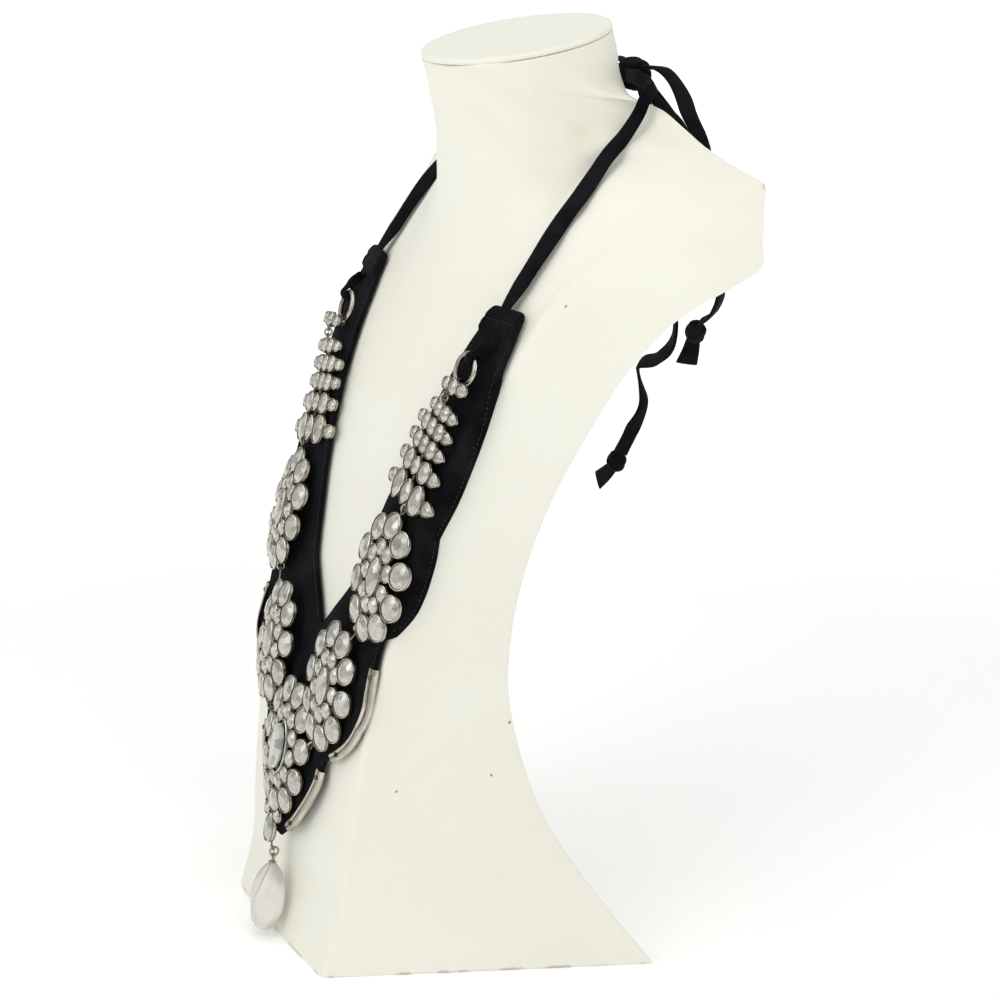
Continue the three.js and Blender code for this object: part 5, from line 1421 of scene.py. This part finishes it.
# The right one is twisted a little, so that its edge leaves the skin.
for side, sign, twist in (("left", 1, 0), ("right", -1, 0.62)):
    rows = np.array(STRAP)
    rows[:, [0, 4]] *= sign
    amount = twist * np.interp(rows[:, 2], [336, 350, 385, 400], [0.5, 1, 1, 0])
    rows[:, 4:] += amount[:, None] * [0.89, -0.41, 0.19]
    add_piece(f"neck_ribbon_{side}", [ribbon_part(rows, 300, wave=0.5, sides=28)[1]], velvet,
              "velvet", [f"strap_{side}"])


# ---------------------------------------------------------------- bow
# The ribbons are tied at the nape in a flat bow: two loops that droop over the back of the
# shoulders, pinched into a tight knot wrapped round their middle.

BOW_LOOP = [
    [8.2, 129.5, 431.2, 5, 0, 0.3, 1], [23, 130.5, 432, 8, 0.1, 0, 1],
    [35, 130, 428.5, 8.5, 0.3, 0, 1], [45, 129.5, 422, 8.5, 0.6, 0, 0.8],
    [52, 129, 414.5, 8.5, 0.7, 0, 0.7], [63, 128.5, 405, 8.5, 0.7, 0, 0.7],
    [71, 127.5, 395, 8.5, 0.95, 0, 0.3], [75.5, 127, 382, 8.5, 1, 0, 0],
    [70.5, 126.5, 376, 8.5, -0.3, 0, -1], [63, 126.5, 386, 8.5, -0.8, 0, -0.5],
    [53, 127.5, 400, 8.5, -0.7, 0, -0.7], [42, 128.5, 408, 8.5, -0.4, 0, -0.9],
    [27, 129.5, 413, 8, -0.3, 0, -1], [8.2, 129.5, 421.8, 5, -0.4, 0, -0.9]]

BOW_KNOT_CENTRE = (0, 128, 427)
BOW_KNOT_HALF = (9, 8, 8.5)

both_sides("bow_ribbon", [ribbon_part(BOW_LOOP, 320, wave=0.7, sides=28)[1]], velvet, "velvet",
           ["bow_loop"], sharp=40)
bow_knot = wrapped_knot(BOW_KNOT_CENTRE, BOW_KNOT_HALF, 0.2, wraps=4, rows=72, columns=96)
add_piece("bow_wrap", [bow_knot], velvet, "velvet", ["bow_knot"])


# ---------------------------------------------------------------- studio
# A plain pale floor, soft light from all round, and three large round lamps: in front, at the
# wearer's left, and overhead.

floor_mesh = bpy.data.meshes.new("floor")
floor_mesh.from_pydata([(-6, -6, 0), (6, -6, 0), (6, 6, 0), (-6, 6, 0)], [], [(0, 1, 2, 3)])
floor = bpy.data.objects.new("floor", floor_mesh)
bpy.context.scene.collection.objects.link(floor)
floor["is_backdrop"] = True
floor_material, tree, shader, place = new_material("pale_floor", (0.9, 0.9, 0.9))
shader.inputs["Base Color"].default_value = (0.95, 0.95, 0.95, 1)
shader.inputs["Roughness"].default_value = 0.9
# The floor's own glow grows away from the object, so that it stays pale to the horizon.
away = node(tree, "ShaderNodeVectorMath", {0: place}, operation="LENGTH").outputs["Value"]
tree.links.new(blend_colours(tree, stretch(tree, away, 0.5, 1.8), (0.17, 0.17, 0.17, 1),
                             (0.55, 0.55, 0.55, 1)), shader.inputs["Emission Color"])
shader.inputs["Emission Strength"].default_value = 1.0
floor_mesh.materials.append(floor_material)

world = bpy.data.worlds.new("studio")
bpy.context.scene.world = world
world.use_nodes = True
tree = world.node_tree
background = tree.nodes["Background"]
# The room's light grows from the horizon to a third of the way up, and stays even above that.
sky_way = node(tree, "ShaderNodeTexCoord").outputs["Generated"]
sky_x, sky_y, sky_height = node(tree, "ShaderNodeSeparateXYZ", {0: sky_way}).outputs
walls = stretch(tree, sky_height, 0.0, 0.5, 0.3, 0.85)
# Broad soft panels stand round it with darker gaps between them, above the floor's horizon.
around = maths(tree, "ARCTAN2", sky_y, sky_x)
wave = maths(tree, "SINE", maths(tree, "MULTIPLY_ADD", around, 5.0, 1.0))
gaps = maths(tree, "MULTIPLY", stretch(tree, wave, -0.5, 0.3, 0.75, 0.0),
             stretch(tree, sky_height, 0.12, 0.25))
walls = maths(tree, "MULTIPLY", walls, maths(tree, "SUBTRACT", 1.0, gaps))
sky = blend_colours(tree, walls, (0, 0, 0, 1), (1, 0.995, 0.985, 1))
tree.links.new(sky, background.inputs["Color"])
background.inputs["Strength"].default_value = 1.15
bpy.context.scene.view_settings.view_transform = "Standard"


def lamp(name, size, power, location, target):
    """A round area lamp that looks at a target."""
    data = bpy.data.lights.new(name, "AREA")
    data.shape = "DISK"
    data.size = size
    data.energy = power
    made = bpy.data.objects.new(name, data)
    made.location = location
    aim = np.asarray(target) - np.asarray(location)
    flat_run = math.hypot(aim[0], aim[1])
    made.rotation_euler = (math.atan2(flat_run, -aim[2]), 0, math.atan2(-aim[0], aim[1]))
    bpy.context.scene.collection.objects.link(made)


lamp("lamp_front", 1.6, 10, (0.2, -1.9, 1.5), (0, 0, 0.22))
lamp("lamp_side", 1.6, 7.5, (1.9, 0.5, 1.5), (0, 0, 0.22))
lamp("lamp_top", 2.2, 11.5, (0.1, -0.2, 2.4), (0, 0, 0.2))

low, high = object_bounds()
